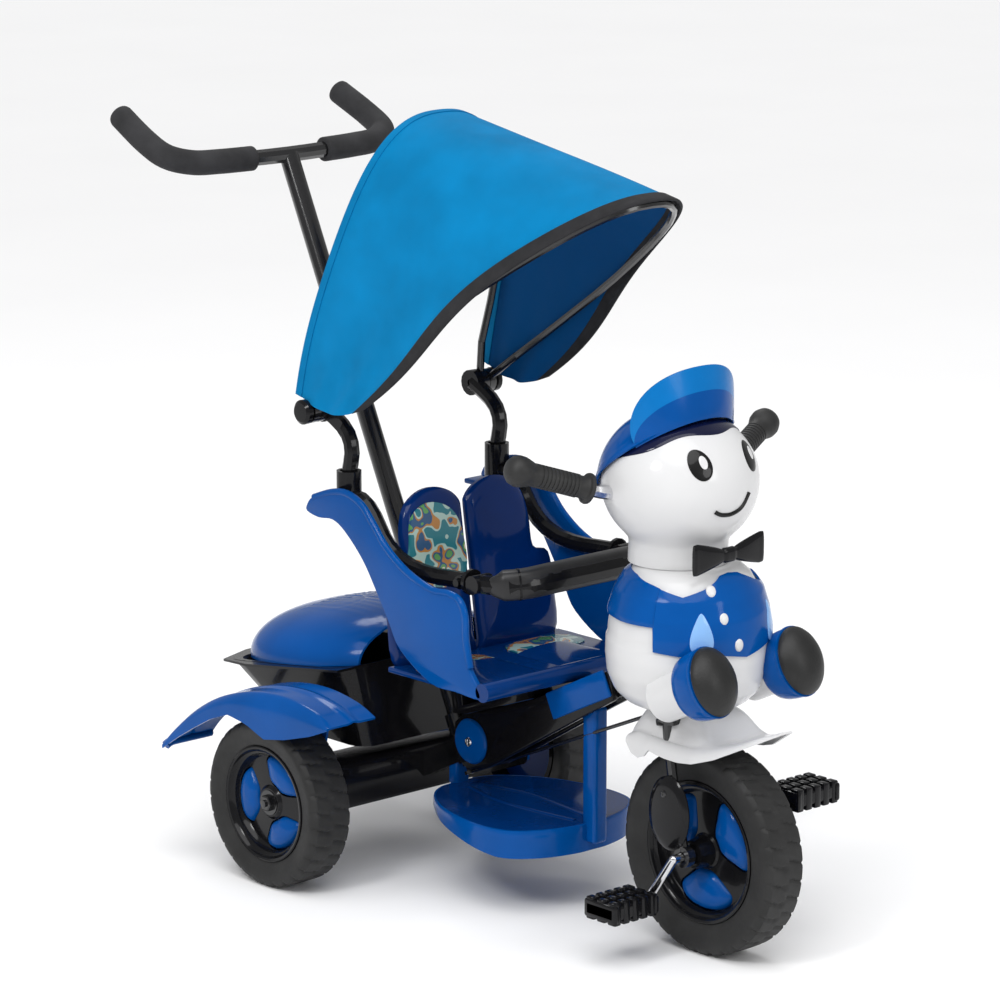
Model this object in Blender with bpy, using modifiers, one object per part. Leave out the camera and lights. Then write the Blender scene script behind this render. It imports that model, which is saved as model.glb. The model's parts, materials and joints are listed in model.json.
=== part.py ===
"""Children's tricycle with push handle, folding canopy, lidded bucket and a doll on the front fork.

Metres. +X is forward, +Y is the rider's left, +Z is up. Every piece is placed in the tricycle's own
frame, which starts on the ground under the rear axle; one empty then moves the whole tricycle so that
the world origin is the middle of its footprint.
"""

import math

import bmesh
import bpy
from mathutils import Matrix, Vector

# ---------------------------------------------------------------- driving dimensions
FRAME_SHIFT = -0.1652          # from the rear axle to the middle of the tricycle's length
WHEELBASE = 0.552
REAR_TRACK = 0.422
FRONT_TYRE = {"radius": 0.125, "width": 0.060, "rim": 0.087}
REAR_TYRE = {"radius": 0.106, "width": 0.062, "rim": 0.074}
TYRE_STEPS = 28
RIM_STEPS = 20
CASTER = math.radians(11.0)    # the steering axis leans back
BEAM_SLOPE = math.radians(26.2)
POLE_RAKE = math.radians(25.5)  # the push pole leans back
CAP_TILT = math.radians(29.0)
FOOT_TILT = math.radians(24.0)
RIM_SLOPE = math.radians(7.6)  # the bucket's rim rises towards the seat
TOUCH = 0.0003                 # gap between faces that touch

AXLE_RADIUS = 0.006
PEDAL_PIN_RADIUS = 0.0055
CRANK_LENGTH = 0.065
CRANK_ANGLE = math.radians(56.5)
CRANK_PLANE = 0.070
PEDAL_SIZE = (0.055, 0.074, 0.028)
PEDAL_Y = 0.1155
STEERER_RADIUS = 0.0119
POLE_RADIUS = 0.0125
BAR_RADIUS = 0.0105
BEAM_SIZE = (0.024, 0.030)     # width, height
HOUSING_Y = (0.0125, 0.022)
SEAT_HALF_WIDTH = 0.150
CANOPY_PIVOT = Vector((-0.010, 0.0, 0.590))
GUARD_PIVOT = Vector((0.274, 0.0, 0.418))
LID_PIVOT = Vector((0.034, 0.0, 0.2720))
HEAD_CENTRE = Vector((0.491, 0.0, 0.563))
HEAD_RADII = (0.092, 0.095, 0.085)
FRONT_AXLE = Vector((WHEELBASE, 0.0, FRONT_TYRE["radius"]))
REAR_AXLE_Z = REAR_TYRE["radius"]

STEER_AXIS = Vector((-math.sin(CASTER), 0.0, math.cos(CASTER)))
BEAM_AXIS = Vector((math.cos(BEAM_SLOPE), 0.0, math.sin(BEAM_SLOPE)))
BEAM_UP = Vector((-math.sin(BEAM_SLOPE), 0.0, math.cos(BEAM_SLOPE)))
BEAM_START = Vector((0.010, 0.0, 0.107))
POLE_AXIS = Vector((-math.sin(POLE_RAKE), 0.0, math.cos(POLE_RAKE)))
POLE_FOOT = Vector((0.1155, 0.0, 0.159))
T_POINT = POLE_FOOT + 0.789 * POLE_AXIS
CAP_AXIS = Vector((-math.sin(CAP_TILT), 0.0, math.cos(CAP_TILT)))
FOOT_AXIS = Vector((math.cos(FOOT_TILT), 0.0, math.sin(FOOT_TILT)))
SIDES = {"right": -1, "left": 1}

# colour, roughness, metallic
BLUE = ((0.006, 0.118, 0.500), 0.22, 0.0)
CANOPY_BLUE = ((0.010, 0.240, 0.620), 0.85, 0.0)
WHITE = ((0.830, 0.830, 0.820), 0.25, 0.0)
BLACK = ((0.012, 0.012, 0.013), 0.30, 0.0)
FOAM = ((0.030, 0.030, 0.032), 0.90, 0.0)
RUBBER = ((0.028, 0.027, 0.026), 0.75, 0.0)
PAINTED = ((0.014, 0.014, 0.015), 0.28, 0.6)
STEEL = ((0.620, 0.620, 0.630), 0.18, 1.0)

# the point that each moving body turns about, or that a sliding body starts from
PIVOTS = {
    "root": Vector((0, 0, 0)),
    "lid": LID_PIVOT,
    "guard": GUARD_PIVOT,
    "guard_release": Vector((0.248, -0.133, 0.4165)),
    "canopy_rear": CANOPY_PIVOT,
    "canopy_front": CANOPY_PIVOT,
    "steering": FRONT_AXLE,
    "front_wheel": FRONT_AXLE,
    "rear_wheel_right": Vector((0, -REAR_TRACK / 2, REAR_AXLE_Z)),
    "rear_wheel_left": Vector((0, REAR_TRACK / 2, REAR_AXLE_Z)),
    "push_pole": POLE_FOOT,
    "link": POLE_FOOT - 0.0319 * POLE_AXIS - Vector((0, 0.009, 0)),
}


def crank_pin(side):
    """Centre of a pedal pin: the right crank points back and down, the left one forward and up."""
    reach = CRANK_LENGTH * Vector((math.cos(CRANK_ANGLE), 0, math.sin(CRANK_ANGLE)))
    return FRONT_AXLE + SIDES[side] * reach + Vector((0, SIDES[side] * PEDAL_Y, 0))


for each_side in SIDES:
    PIVOTS["pedal_" + each_side] = crank_pin(each_side)


# ---------------------------------------------------------------- scene helpers
def clear_scene():
    for obj in list(bpy.data.objects):
        bpy.data.objects.remove(obj, do_unlink=True)


clear_scene()
parts = bpy.data.collections.new("childrens_tricycle")
tools = bpy.data.collections.new("cutters")
bpy.context.scene.collection.children.link(parts)
bpy.context.scene.collection.children.link(tools)


def add_empty(name, location, parent=None):
    empty = bpy.data.objects.new(name, None)
    empty.location = location
    empty.parent = parent
    parts.objects.link(empty)
    return empty


frame = add_empty("tricycle_frame", (FRAME_SHIFT, 0, 0))
bodies = {name: add_empty(name + "_pivot", point, frame) for name, point in PIVOTS.items()}


def finish_part(obj, name, look, body="root"):
    """Name a piece, give it its own material and hang it on the empty of its body."""
    colour, roughness, metallic = look
    material = bpy.data.materials.new(name)
    material.use_nodes = True
    shader = material.node_tree.nodes["Principled BSDF"]
    shader.inputs["Base Color"].default_value = (*colour, 1)
    shader.inputs["Roughness"].default_value = roughness
    shader.inputs["Metallic"].default_value = metallic
    obj.name = name
    obj.data.name = name
    obj.data.materials.clear()
    obj.data.materials.append(material)
    for collection in list(obj.users_collection):
        collection.objects.unlink(obj)
    parts.objects.link(obj)
    obj.parent = bodies[body]
    obj.matrix_parent_inverse = Matrix.Translation(-PIVOTS[body])
    obj.hide_render = False
    obj.display_type = "TEXTURED"
    return obj


def new_tool(name, data, place=None):
    """Every shape starts in the cutters' collection; finish_part moves the kept ones out of it."""
    obj = bpy.data.objects.new(name, data)
    obj.matrix_basis = place or Matrix.Identity(4)
    obj.parent = frame
    obj.hide_render = True
    obj.display_type = "WIRE"
    tools.objects.link(obj)
    return obj


def mesh_object(name, bm, place=None, smooth=False):
    mesh = bpy.data.meshes.new(name)
    bm.to_mesh(mesh)
    bm.free()
    for face in mesh.polygons:
        face.use_smooth = smooth
    return new_tool(name, mesh, place)


def along(axis, location):
    """Matrix that takes local +Z to the axis and the local origin to the location."""
    turn = Vector((0, 0, 1)).rotation_difference(Vector(axis)).to_matrix().to_4x4()
    return Matrix.Translation(Vector(location)) @ turn


def pitched(angle, location):
    """Matrix that raises local +X by an angle and moves the origin to the location."""
    return Matrix.Translation(Vector(location)) @ Matrix.Rotation(-angle, 4, "Y")


def box(size, place, bevel=0.0, segments=2):
    bm = bmesh.new()
    bmesh.ops.create_cube(bm, size=1.0, matrix=Matrix.Diagonal((*size, 1)))
    obj = mesh_object("box", bm, place if isinstance(place, Matrix) else Matrix.Translation(place))
    if bevel:
        soften(obj, bevel, segments)
    return obj


def box_between(low, high, bevel=0.0):
    low, high = Vector(low), Vector(high)
    return box(high - low, (low + high) / 2, bevel)


def rod(start, end, radius, sides=12):
    start, end = Vector(start), Vector(end)
    bm = bmesh.new()
    bmesh.ops.create_cone(bm, cap_ends=True, segments=sides, radius1=radius, radius2=radius,
                          depth=(end - start).length)
    return mesh_object("rod", bm, along((end - start).normalized(), (start + end) / 2), True)


def ball(radii, place, sides=28, rings=16):
    bm = bmesh.new()
    bmesh.ops.create_uvsphere(bm, u_segments=sides, v_segments=rings, radius=1.0,
                              matrix=Matrix.Diagonal((*radii, 1)))
    return mesh_object("ball", bm, place if isinstance(place, Matrix) else Matrix.Translation(place), True)


def turned(profile, place, steps=32, turn=0.0, closed=True):
    """Spin a closed (radius, height) outline about local Z; turn is the angle that it starts at."""
    bm = bmesh.new()
    points = [bm.verts.new((r * math.cos(turn), r * math.sin(turn), z)) for r, z in profile]
    pairs = zip(points, points[1:] + points[:1]) if closed else zip(points, points[1:])
    for first, second in pairs:
        bm.edges.new((first, second))
    obj = mesh_object("turned", bm, place)
    screw = obj.modifiers.new("Screw", "SCREW")
    screw.steps = screw.render_steps = steps
    screw.use_merge_vertices = True
    screw.merge_threshold = 0.00005
    screw.use_smooth_shade = True
    return obj


def pipe(points, radius, detail=2, sides=3):
    """A round bar through the points, as a closed mesh; detail is the steps between two points."""
    data = bpy.data.curves.new("pipe", "CURVE")
    data.dimensions = "3D"
    data.bevel_depth = radius
    data.bevel_resolution = sides
    data.resolution_u = detail
    data.use_fill_caps = True
    spline = data.splines.new("BEZIER")
    spline.bezier_points.add(len(points) - 1)
    for knot, point in zip(spline.bezier_points, points):
        knot.co = point
        knot.handle_left_type = knot.handle_right_type = "AUTO"
    return as_mesh(new_tool("pipe", data), True)


def plate(outline, thickness, place):
    """A flat outline, given as (x, y), made thickness deep about its own plane."""
    data = bpy.data.curves.new("plate", "CURVE")
    data.dimensions = "2D"
    data.fill_mode = "BOTH"
    data.extrude = thickness / 2
    spline = data.splines.new("POLY")
    spline.points.add(len(outline) - 1)
    for knot, point in zip(spline.points, outline):
        knot.co = (*point, 0, 1)
    spline.use_cyclic_u = True
    return as_mesh(new_tool("plate", data, place))


def side_plate(outline, y_low, y_high):
    """A plate whose outline is given as (x, z) and which spans y_low to y_high."""
    upright = Matrix(((1, 0, 0, 0), (0, 0, -1, (y_low + y_high) / 2), (0, 1, 0, 0), (0, 0, 0, 1)))
    return plate(outline, y_high - y_low, upright)


def as_mesh(obj, smooth=False):
    """Turn a curve object into a welded mesh object at the same place."""
    bpy.context.view_layer.update()
    mesh = bpy.data.meshes.new_from_object(obj.evaluated_get(bpy.context.evaluated_depsgraph_get()))
    bm = bmesh.new()
    bm.from_mesh(mesh)
    bmesh.ops.remove_doubles(bm, verts=bm.verts, dist=0.00002)
    bmesh.ops.recalc_face_normals(bm, faces=bm.faces)
    place = obj.matrix_basis.copy()
    bpy.data.objects.remove(obj, do_unlink=True)
    return mesh_object("shape", bm, place, smooth)


def combine(base, others, operation):
    for other in others:
        step = base.modifiers.new("Boolean", "BOOLEAN")
        step.operation = operation
        step.solver = "EXACT"
        step.object = other
    return base


def join(base, *others):
    return combine(base, others, "UNION")


def cut(base, *others):
    return combine(base, others, "DIFFERENCE")


def keep(base, *others):
    return combine(base, others, "INTERSECT")


def soften(obj, width, segments=2, angle=40.0):
    step = obj.modifiers.new("Bevel", "BEVEL")
    step.width = width
    step.segments = segments
    step.limit_method = "ANGLE"
    step.angle_limit = math.radians(angle)
    return obj


def mirrored(points):
    """The same points on the other side of the middle plane."""
    return [Vector((x, -y, z)) for x, y, z in points]


def beam_point(x, up=0.0, y=0.0):
    """A point above the beam's centre line, by its x on that line."""
    reach = (x - BEAM_START.x) / math.cos(BEAM_SLOPE)
    return BEAM_START + reach * BEAM_AXIS + up * BEAM_UP + Vector((0, y, 0))


def steer_point(z, y=0.0):
    """A point on the steering axis, by its height."""
    return FRONT_AXLE + (z - FRONT_AXLE.z) / math.cos(CASTER) * STEER_AXIS + Vector((0, y, 0))


def pole_hole(radius):
    return rod(POLE_FOOT - 0.08 * POLE_AXIS, POLE_FOOT + 0.25 * POLE_AXIS, radius, 16)


def beam_envelope(spare):
    """A bar as large as the main beam with some room around it."""
    length = 0.60
    middle = BEAM_START + 0.26 * BEAM_AXIS
    return box((length, BEAM_SIZE[0] + 2 * spare, BEAM_SIZE[1] + 2 * spare), pitched(BEAM_SLOPE, middle))


# ---------------------------------------------------------------- frame
def make_main_beam():
    wall = 0.0018
    start, end = beam_point(0.020), beam_point(0.505)
    length, middle = (end - start).length, (start + end) / 2
    beam = box((length, *BEAM_SIZE), pitched(BEAM_SLOPE, middle))
    hollow = box((length - 0.030, BEAM_SIZE[0] - 2 * wall, BEAM_SIZE[1] - 2 * wall),
                 pitched(BEAM_SLOPE, middle - 0.015 * BEAM_AXIS))
    rear_cut = box_between((-0.02, -0.05, 0.05), (0.0453, 0.05, 0.20))
    socket = rod(POLE_FOOT - 0.018 * POLE_AXIS, POLE_FOOT + 0.045 * POLE_AXIS, 0.0165, 16)
    head_tube = rod(steer_point(0.313), steer_point(0.393), 0.019, 16)
    head_bore = rod(steer_point(0.29), steer_point(0.42), 0.0145, 16)
    cut(beam, hollow, rear_cut)
    join(beam, socket, head_tube)
    drains = [rod(beam_point(x, -0.030), beam_point(x, -0.005), 0.004, 12) for x in (0.160, 0.440)]
    cut(beam, pole_hole(POLE_RADIUS + TOUCH + 0.0001), head_bore, *drains)
    finish_part(beam, "main_beam", PAINTED)
    bush = turned([(0.0142, 0.0385), (0.0142, -0.0385), (0.0123, -0.0385), (0.0123, 0.0385)],
                  along(STEER_AXIS, steer_point(0.353)), 24)
    finish_part(bush, "steerer_bush", WHITE)


def make_housings():
    outline = [(0.112, 0.168), (0.118, 0.150), (0.140, 0.138), (0.175, 0.147), (0.200, 0.161),
               (0.362, 0.257), (0.402, 0.280), (0.396, 0.316), (0.388, 0.3135), (0.255, 0.252),
               (0.165, 0.219), (0.134, 0.212), (0.116, 0.196)]
    near, far = HOUSING_Y
    for name, side in SIDES.items():
        low, high = sorted((side * near, side * far))
        shell = cut(soften(side_plate(outline, low, high), 0.0025, 2, 50), pole_hole(0.0172))
        finish_part(shell, "housing_" + name, BLACK)
        outer = side * (far + TOUCH)
        cap = turned([(0.0, 0.0055), (0.020, 0.0052), (0.027, 0.0035), (0.029, 0.0012), (0.029, 0.0),
                      (0.0, 0.0)], along((0, side, 0), (0.148, outer, 0.177)), 32, closed=False)
        finish_part(cap, "pivot_cap_" + name, BLUE)
        cover = box((0.112, 0.0045, 0.034), pitched(BEAM_SLOPE, (0.344, outer + side * 0.00225, 0.2765)))
        soften(cover, 0.0150, 4, 80)
        finish_part(cover, "beam_plate_" + name, BLUE)


def make_rear_axle():
    half = 0.172
    beam = box_between((-0.022, -half, 0.087), (0.045, half, 0.147), 0.008)
    hollow = box_between((-0.017, -half + 0.006, 0.080), (0.040, half - 0.006, 0.141))
    hole = rod((0, -0.3, REAR_AXLE_Z), (0, 0.3, REAR_AXLE_Z), AXLE_RADIUS + TOUCH)
    finish_part(cut(beam, hollow, hole), "rear_axle_beam", BLACK)
    end = REAR_TRACK / 2 + 0.020
    axle = rod((0, -end, REAR_AXLE_Z), (0, end, REAR_AXLE_Z), AXLE_RADIUS, 16)
    finish_part(axle, "rear_axle", STEEL)


def make_fenders():
    top = [(-0.187, 0.148), (-0.160, 0.176), (-0.120, 0.206), (-0.070, 0.232), (-0.010, 0.249),
           (0.050, 0.254), (0.105, 0.247), (0.140, 0.234)]
    under = [(0.137, 0.2305), (0.103, 0.2430), (0.050, 0.2500), (-0.009, 0.2450), (-0.068, 0.2280),
             (-0.117, 0.2020), (-0.157, 0.1730), (-0.184, 0.1460)]
    skirt = [(-0.183, 0.149), (-0.160, 0.174), (-0.120, 0.204), (-0.070, 0.230), (-0.010, 0.247),
             (0.050, 0.252), (0.105, 0.245), (0.138, 0.233), (0.108, 0.219), (0.060, 0.205),
             (0.020, 0.197), (-0.015, 0.212), (-0.050, 0.216), (-0.085, 0.198), (-0.120, 0.180),
             (-0.150, 0.166)]
    for name, side in SIDES.items():
        low, high = sorted((side * 0.1725, side * 0.2515))
        arch = side_plate(top + under, low, high)
        outer = side_plate(skirt, *sorted((side * 0.2475, side * 0.2510)))
        bracket = [(-0.020, 0.092), (0.040, 0.092), (0.040, 0.140), (0.062, 0.252), (-0.040, 0.240),
                   (-0.020, 0.140)]
        inner = side_plate(bracket, *sorted((side * 0.1728, side * 0.1764)))
        hole = rod((0, side * 0.16, REAR_AXLE_Z), (0, side * 0.19, REAR_AXLE_Z), AXLE_RADIUS + TOUCH)
        finish_part(cut(join(arch, outer, inner), hole), "fender_" + name, BLUE)


def make_footrest():
    floor_z, skirt_z, wall = 0.110, 0.076, 0.004
    half = [(0.100, 0.030), (0.125, 0.066), (0.165, 0.092), (0.215, 0.108), (0.265, 0.114),
            (0.305, 0.104), (0.332, 0.070), (0.345, 0.030)]
    outline = half + [(x, -y) for x, y in reversed(half)]
    centre = 0.2225
    inner = [(centre + (x - centre) * 0.965, y * 0.962) for x, y in outline]
    tray = plate(outline, floor_z - skirt_z, Matrix.Translation((0, 0, (floor_z + skirt_z) / 2)))
    below = plate(inner, 0.040, Matrix.Translation((0, 0, floor_z - wall - 0.020)))
    slope = box((0.30, 0.30, 0.06), pitched(math.radians(-7.0), (0.150, 0, 0.0635)))
    rear_post = box_between((0.090, -0.012, floor_z - 0.003), (0.109, 0.012, 0.150))
    front_post = box_between((0.329, -0.012, 0.085), (0.362, 0.012, 0.262))
    link_way = rod((0.10, -0.0125, 0.118), (0.50, -0.0125, 0.295), 0.0075, 12)
    hump = box_between((0.120, -0.013, floor_z - 0.002), (0.335, 0.013, floor_z + 0.010), 0.004)
    cut(tray, below, slope)
    join(tray, rear_post, hump, front_post)
    cut(tray, beam_envelope(TOUCH), link_way, pole_hole(0.0172))
    finish_part(tray, "footrest", BLUE)


# ---------------------------------------------------------------- bucket and lid
def rim_height(x):
    """Height of the bucket's rim at x."""
    return 0.240 + (x + 0.180) * math.tan(RIM_SLOPE)


def tub(rear, front, half_width, foot, bottom, above_rim):
    """A rounded tub with a sloping top; foot is the rear x and the half width of its bottom."""
    bm = bmesh.new()
    middle, height = (rear + front) / 2, 0.100
    size = Matrix.Diagonal((front - rear, 2 * half_width, height, 1))
    bmesh.ops.create_cube(bm, size=1.0, matrix=Matrix.Translation((middle, 0, 0)) @ size)
    corners = [e for e in bm.edges if abs(e.verts[0].co.z - e.verts[1].co.z) > height / 2]
    bmesh.ops.bevel(bm, geom=corners, offset=0.040, segments=4, profile=0.5, affect="EDGES")
    for vert in bm.verts:
        if vert.co.z > 0:
            vert.co.z = rim_height(vert.co.x) + above_rim
        else:
            vert.co.x = front + (vert.co.x - front) * (front - foot[0]) / (front - rear)
            vert.co.y *= foot[1] / half_width
            vert.co.z = bottom
    return mesh_object("tub", bm)


def make_bucket():
    wall = 0.003
    bucket = tub(-0.200, 0.040, 0.142, (-0.110, 0.108), 0.1605, 0.0)
    inner = tub(-0.200 + wall, 0.040 - wall, 0.142 - wall, (-0.110 + wall, 0.108 - wall),
                0.1605 + wall, 0.010)
    half = [(0.0395, 0.148), (-0.130, 0.158), (-0.195, 0.142), (-0.226, 0.080), (-0.232, 0.0)]
    outline = [(x, -y) for x, y in half] + half[-2::-1]
    flange = plate(outline, 0.003, pitched(RIM_SLOPE, (0, 0, rim_height(0) - 0.0018)))
    finish_part(cut(join(bucket, flange), inner), "basket", BLACK)


def make_lid():
    centre = Vector((-0.072, 0, rim_height(-0.072) + 0.0005))
    place = pitched(RIM_SLOPE, centre)
    dome = ball((0.152, 0.140, 0.064), place, 24, 12)
    inner = ball((0.149, 0.137, 0.061), place, 24, 12)
    below = box((0.50, 0.40, 0.10), pitched(RIM_SLOPE, centre - Vector((0, 0, 0.050))))
    front = box_between((0.034, -0.2, 0.20), (0.15, 0.2, 0.40))
    pole_slot = box_between((-0.020, -0.021, 0.20), (0.15, 0.021, 0.40))
    outline = [(0.104, 0.110), (0.070, 0.139), (-0.060, 0.143), (-0.125, 0.118), (-0.150, 0.060)]
    lip = plate([(x, -y) for x, y in outline] + outline[::-1], 0.0026,
                pitched(RIM_SLOPE, centre + Vector((0, 0, 0.0016))))
    join(dome, lip)
    cut(dome, inner, below, front, pole_slot)
    finish_part(dome, "basket_lid", BLUE, "lid")


# ---------------------------------------------------------------- seat and safety guard
def make_seat():
    half = SEAT_HALF_WIDTH
    top = [(-0.016, 0.471), (-0.004, 0.483), (0.030, 0.495), (0.059, 0.498), (0.087, 0.488),
           (0.109, 0.467), (0.133, 0.442), (0.170, 0.419), (0.216, 0.405), (0.245, 0.406),
           (0.265, 0.401), (0.275, 0.384), (0.277, 0.354), (0.284, 0.321), (0.306, 0.293)]
    bottom = [(0.300, 0.283), (0.261, 0.285), (0.215, 0.287), (0.160, 0.318), (0.138, 0.350),
              (0.114, 0.386), (0.090, 0.419), (0.058, 0.448), (0.034, 0.460), (0.007, 0.458),
              (-0.016, 0.462)]
    back_low, back_high = Vector((0.134, 0, 0.284)), Vector((0.101, 0, 0.500))
    lobe = [(0.143, 0.0), (0.143, 0.110), (0.110, 0.120), (0.106, 0.165), (0.095, 0.198),
            (0.072, 0.214), (0.045, 0.2175), (0.015, 0.206)]
    lobes = lobe + [(0.0, 0.201)] + [(-x, z) for x, z in reversed(lobe)]
    lean = math.atan2(back_low.x - back_high.x, back_high.z - back_low.z)
    upright = Matrix(((0, 0, 1, 0), (1, 0, 0, 0), (0, 1, 0, 0), (0, 0, 0, 1)))
    back = plate(lobes, 0.007, Matrix.Translation(back_low) @ Matrix.Rotation(-lean, 4, "Y") @ upright)
    pan = box_between((0.128, -0.144, 0.2835), (0.308, 0.144, 0.2905))
    lip = rod((0.309, -half, 0.2940), (0.309, half, 0.2940), 0.0115, 14)
    level = box_between((0.280, -half, 0.2905), (0.2983, half, 0.3100))
    base = cut(join(back, pan, lip), level)
    for side in SIDES.values():
        edge = sorted((side * (half - 0.0081), side * (half + 0.01)))
        cut(base, box_between((0.120, edge[0], 0.2800), (0.2095, edge[1], 0.3000)))
        wing = side_plate(top + bottom, *sorted((side * (half - 0.008), side * half)))
        deck = box_between((0.000, min(side * 0.098, side * 0.145), 0.4640),
                           (0.063, max(side * 0.098, side * 0.145), 0.4705))
        join(base, wing, deck)
    finish_part(base, "seat_shell", BLUE)
    support = [(0.130, 0.2830), (0.140, 0.2160), (0.165, 0.2198), (0.255, 0.2528), (0.262, 0.2830)]
    bracket = side_plate(support, -0.046, 0.046)
    window = [(0.152, 0.2770), (0.158, 0.2300), (0.236, 0.2585), (0.240, 0.2770)]
    finish_part(cut(bracket, side_plate(window, -0.06, 0.06)), "seat_bracket", BLACK)


ARM_PATH = [(0.035, 0.123, 0.4845), (0.060, 0.123, 0.4850), (0.082, 0.123, 0.468),
            (0.100, 0.123, 0.444), (0.130, 0.123, 0.423), (0.180, 0.122, 0.4135),
            (0.225, 0.121, 0.4155), (0.258, 0.121, 0.4175)]
UPRIGHT_PATH = [(0.0350, 0.123, 0.4780), (0.0350, 0.123, 0.5150), (0.0410, 0.123, 0.5420),
                (0.0340, 0.123, 0.5640), (0.0120, 0.123, 0.5800), (-0.0100, 0.123, 0.5900)]


def make_guard_arms():
    """Each arm starts in a socket that holds a canopy upright and ends in the guard's hinge flange."""
    for name, side in SIDES.items():
        path = [(x, side * y, z) for x, y, z in ARM_PATH]
        socket = rod((0.035, side * 0.123, 0.4712), (0.035, side * 0.123, 0.519), 0.0158, 14)
        arm = pipe(path, 0.0105)
        flange = rod((0.2565, side * 0.121, 0.4175), (0.2615, side * 0.121, 0.4175), 0.0160, 16)
        bore = rod((0.035, side * 0.123, 0.4775), (0.035, side * 0.123, 0.530), 0.0116, 16)
        join(socket, arm, flange)
        cut(socket, bore)
        if name == "right":
            release = PIVOTS["guard_release"]
            collar = rod(release + Vector((0, 0.014, 0)), release + Vector((0, 0.0010, 0)), 0.0085, 16)
            way = rod(release + Vector((0, 0.007, 0)), release - Vector((0, 0.020, 0)), 0.0056, 16)
            cut(join(socket, collar), way)
        finish_part(socket, "guard_arm_" + name, BLACK)


def make_guard():
    half = [(0.274, 0.121, 0.418), (0.290, 0.1195, 0.4185), (0.308, 0.109, 0.420),
            (0.322, 0.085, 0.422), (0.328, 0.045, 0.424)]
    right = mirrored(half)
    rail = pipe(right + [(0.329, 0, 0.424)] + half[::-1], 0.0115)
    padded = pipe([right[2], right[3], right[4], (0.329, 0, 0.424), half[4], half[3], half[2]], 0.0175)
    barrels = [rod((0.274, side * 0.107, 0.418), (0.274, side * 0.135, 0.418), 0.0115, 14)
               for side in SIDES.values()]
    finish_part(join(rail, padded, *barrels), "front_guard", BLACK, "guard")
    release = PIVOTS["guard_release"]
    button = rod(release + Vector((0, 0.0030, 0)), release - Vector((0, 0.0045, 0)), 0.0050, 16)
    finish_part(button, "guard_button", BLACK, "guard_release")


# ---------------------------------------------------------------- canopy
REAR_BOW = {"tilt": math.radians(78.5), "height": 0.362, "half": 0.1475, "power": 2.5}
FRONT_BOW = {"tilt": math.radians(33.2), "height": 0.536, "half": 0.1445, "power": 2.4}
FABRIC_OFFSET = 0.0080         # from a bow's middle to the fabric over it
FABRIC_RISE = 0.0040           # what the fabric stands higher than that at the top
FABRIC_THICKNESS = 0.0016


def bow_point(bow, turn, grow=0.0):
    """A point of a bow, from the left foot (turn 0) over the top to the right foot (turn pi)."""
    power = 2.0 / bow["power"]
    across = math.copysign(abs(math.cos(turn)) ** power, math.cos(turn)) * (bow["half"] + grow)
    rise = abs(math.sin(turn)) ** power * (bow["height"] + grow * (1 + FABRIC_RISE / FABRIC_OFFSET))
    return CANOPY_PIVOT + Vector((rise * math.cos(bow["tilt"]), across, rise * math.sin(bow["tilt"])))


def make_bow(name, bow, lug_y, sleeve_end, body):
    turns = [math.radians(a) for a in (24, 38, 52, 65, 78, 90, 102, 115, 128, 142, 156)]
    foot_left = CANOPY_PIVOT + Vector((0, lug_y, 0))
    foot_right = CANOPY_PIVOT - Vector((0, lug_y, 0))
    sleeve = sleeve_end - CANOPY_PIVOT
    left, right = foot_left + sleeve, foot_right + sleeve
    over = [bow_point(bow, turn) for turn in turns]
    tube = pipe([left - 0.3 * sleeve, left, *over, right, right - 0.3 * sleeve], 0.0048, 2, 2)
    for foot, end in ((foot_left, left), (foot_right, right)):
        lug = rod(foot - Vector((0, 0.0050, 0)), foot + Vector((0, 0.0050, 0)), 0.0150, 16)
        hole = rod(foot - Vector((0, 0.02, 0)), foot + Vector((0, 0.02, 0)), 0.0048, 16)
        start = foot + 0.012 * sleeve.normalized()
        cut(join(tube, rod(start, end, 0.0050, 12), lug), hole)
    finish_part(tube, name, BLACK, body)


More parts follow.
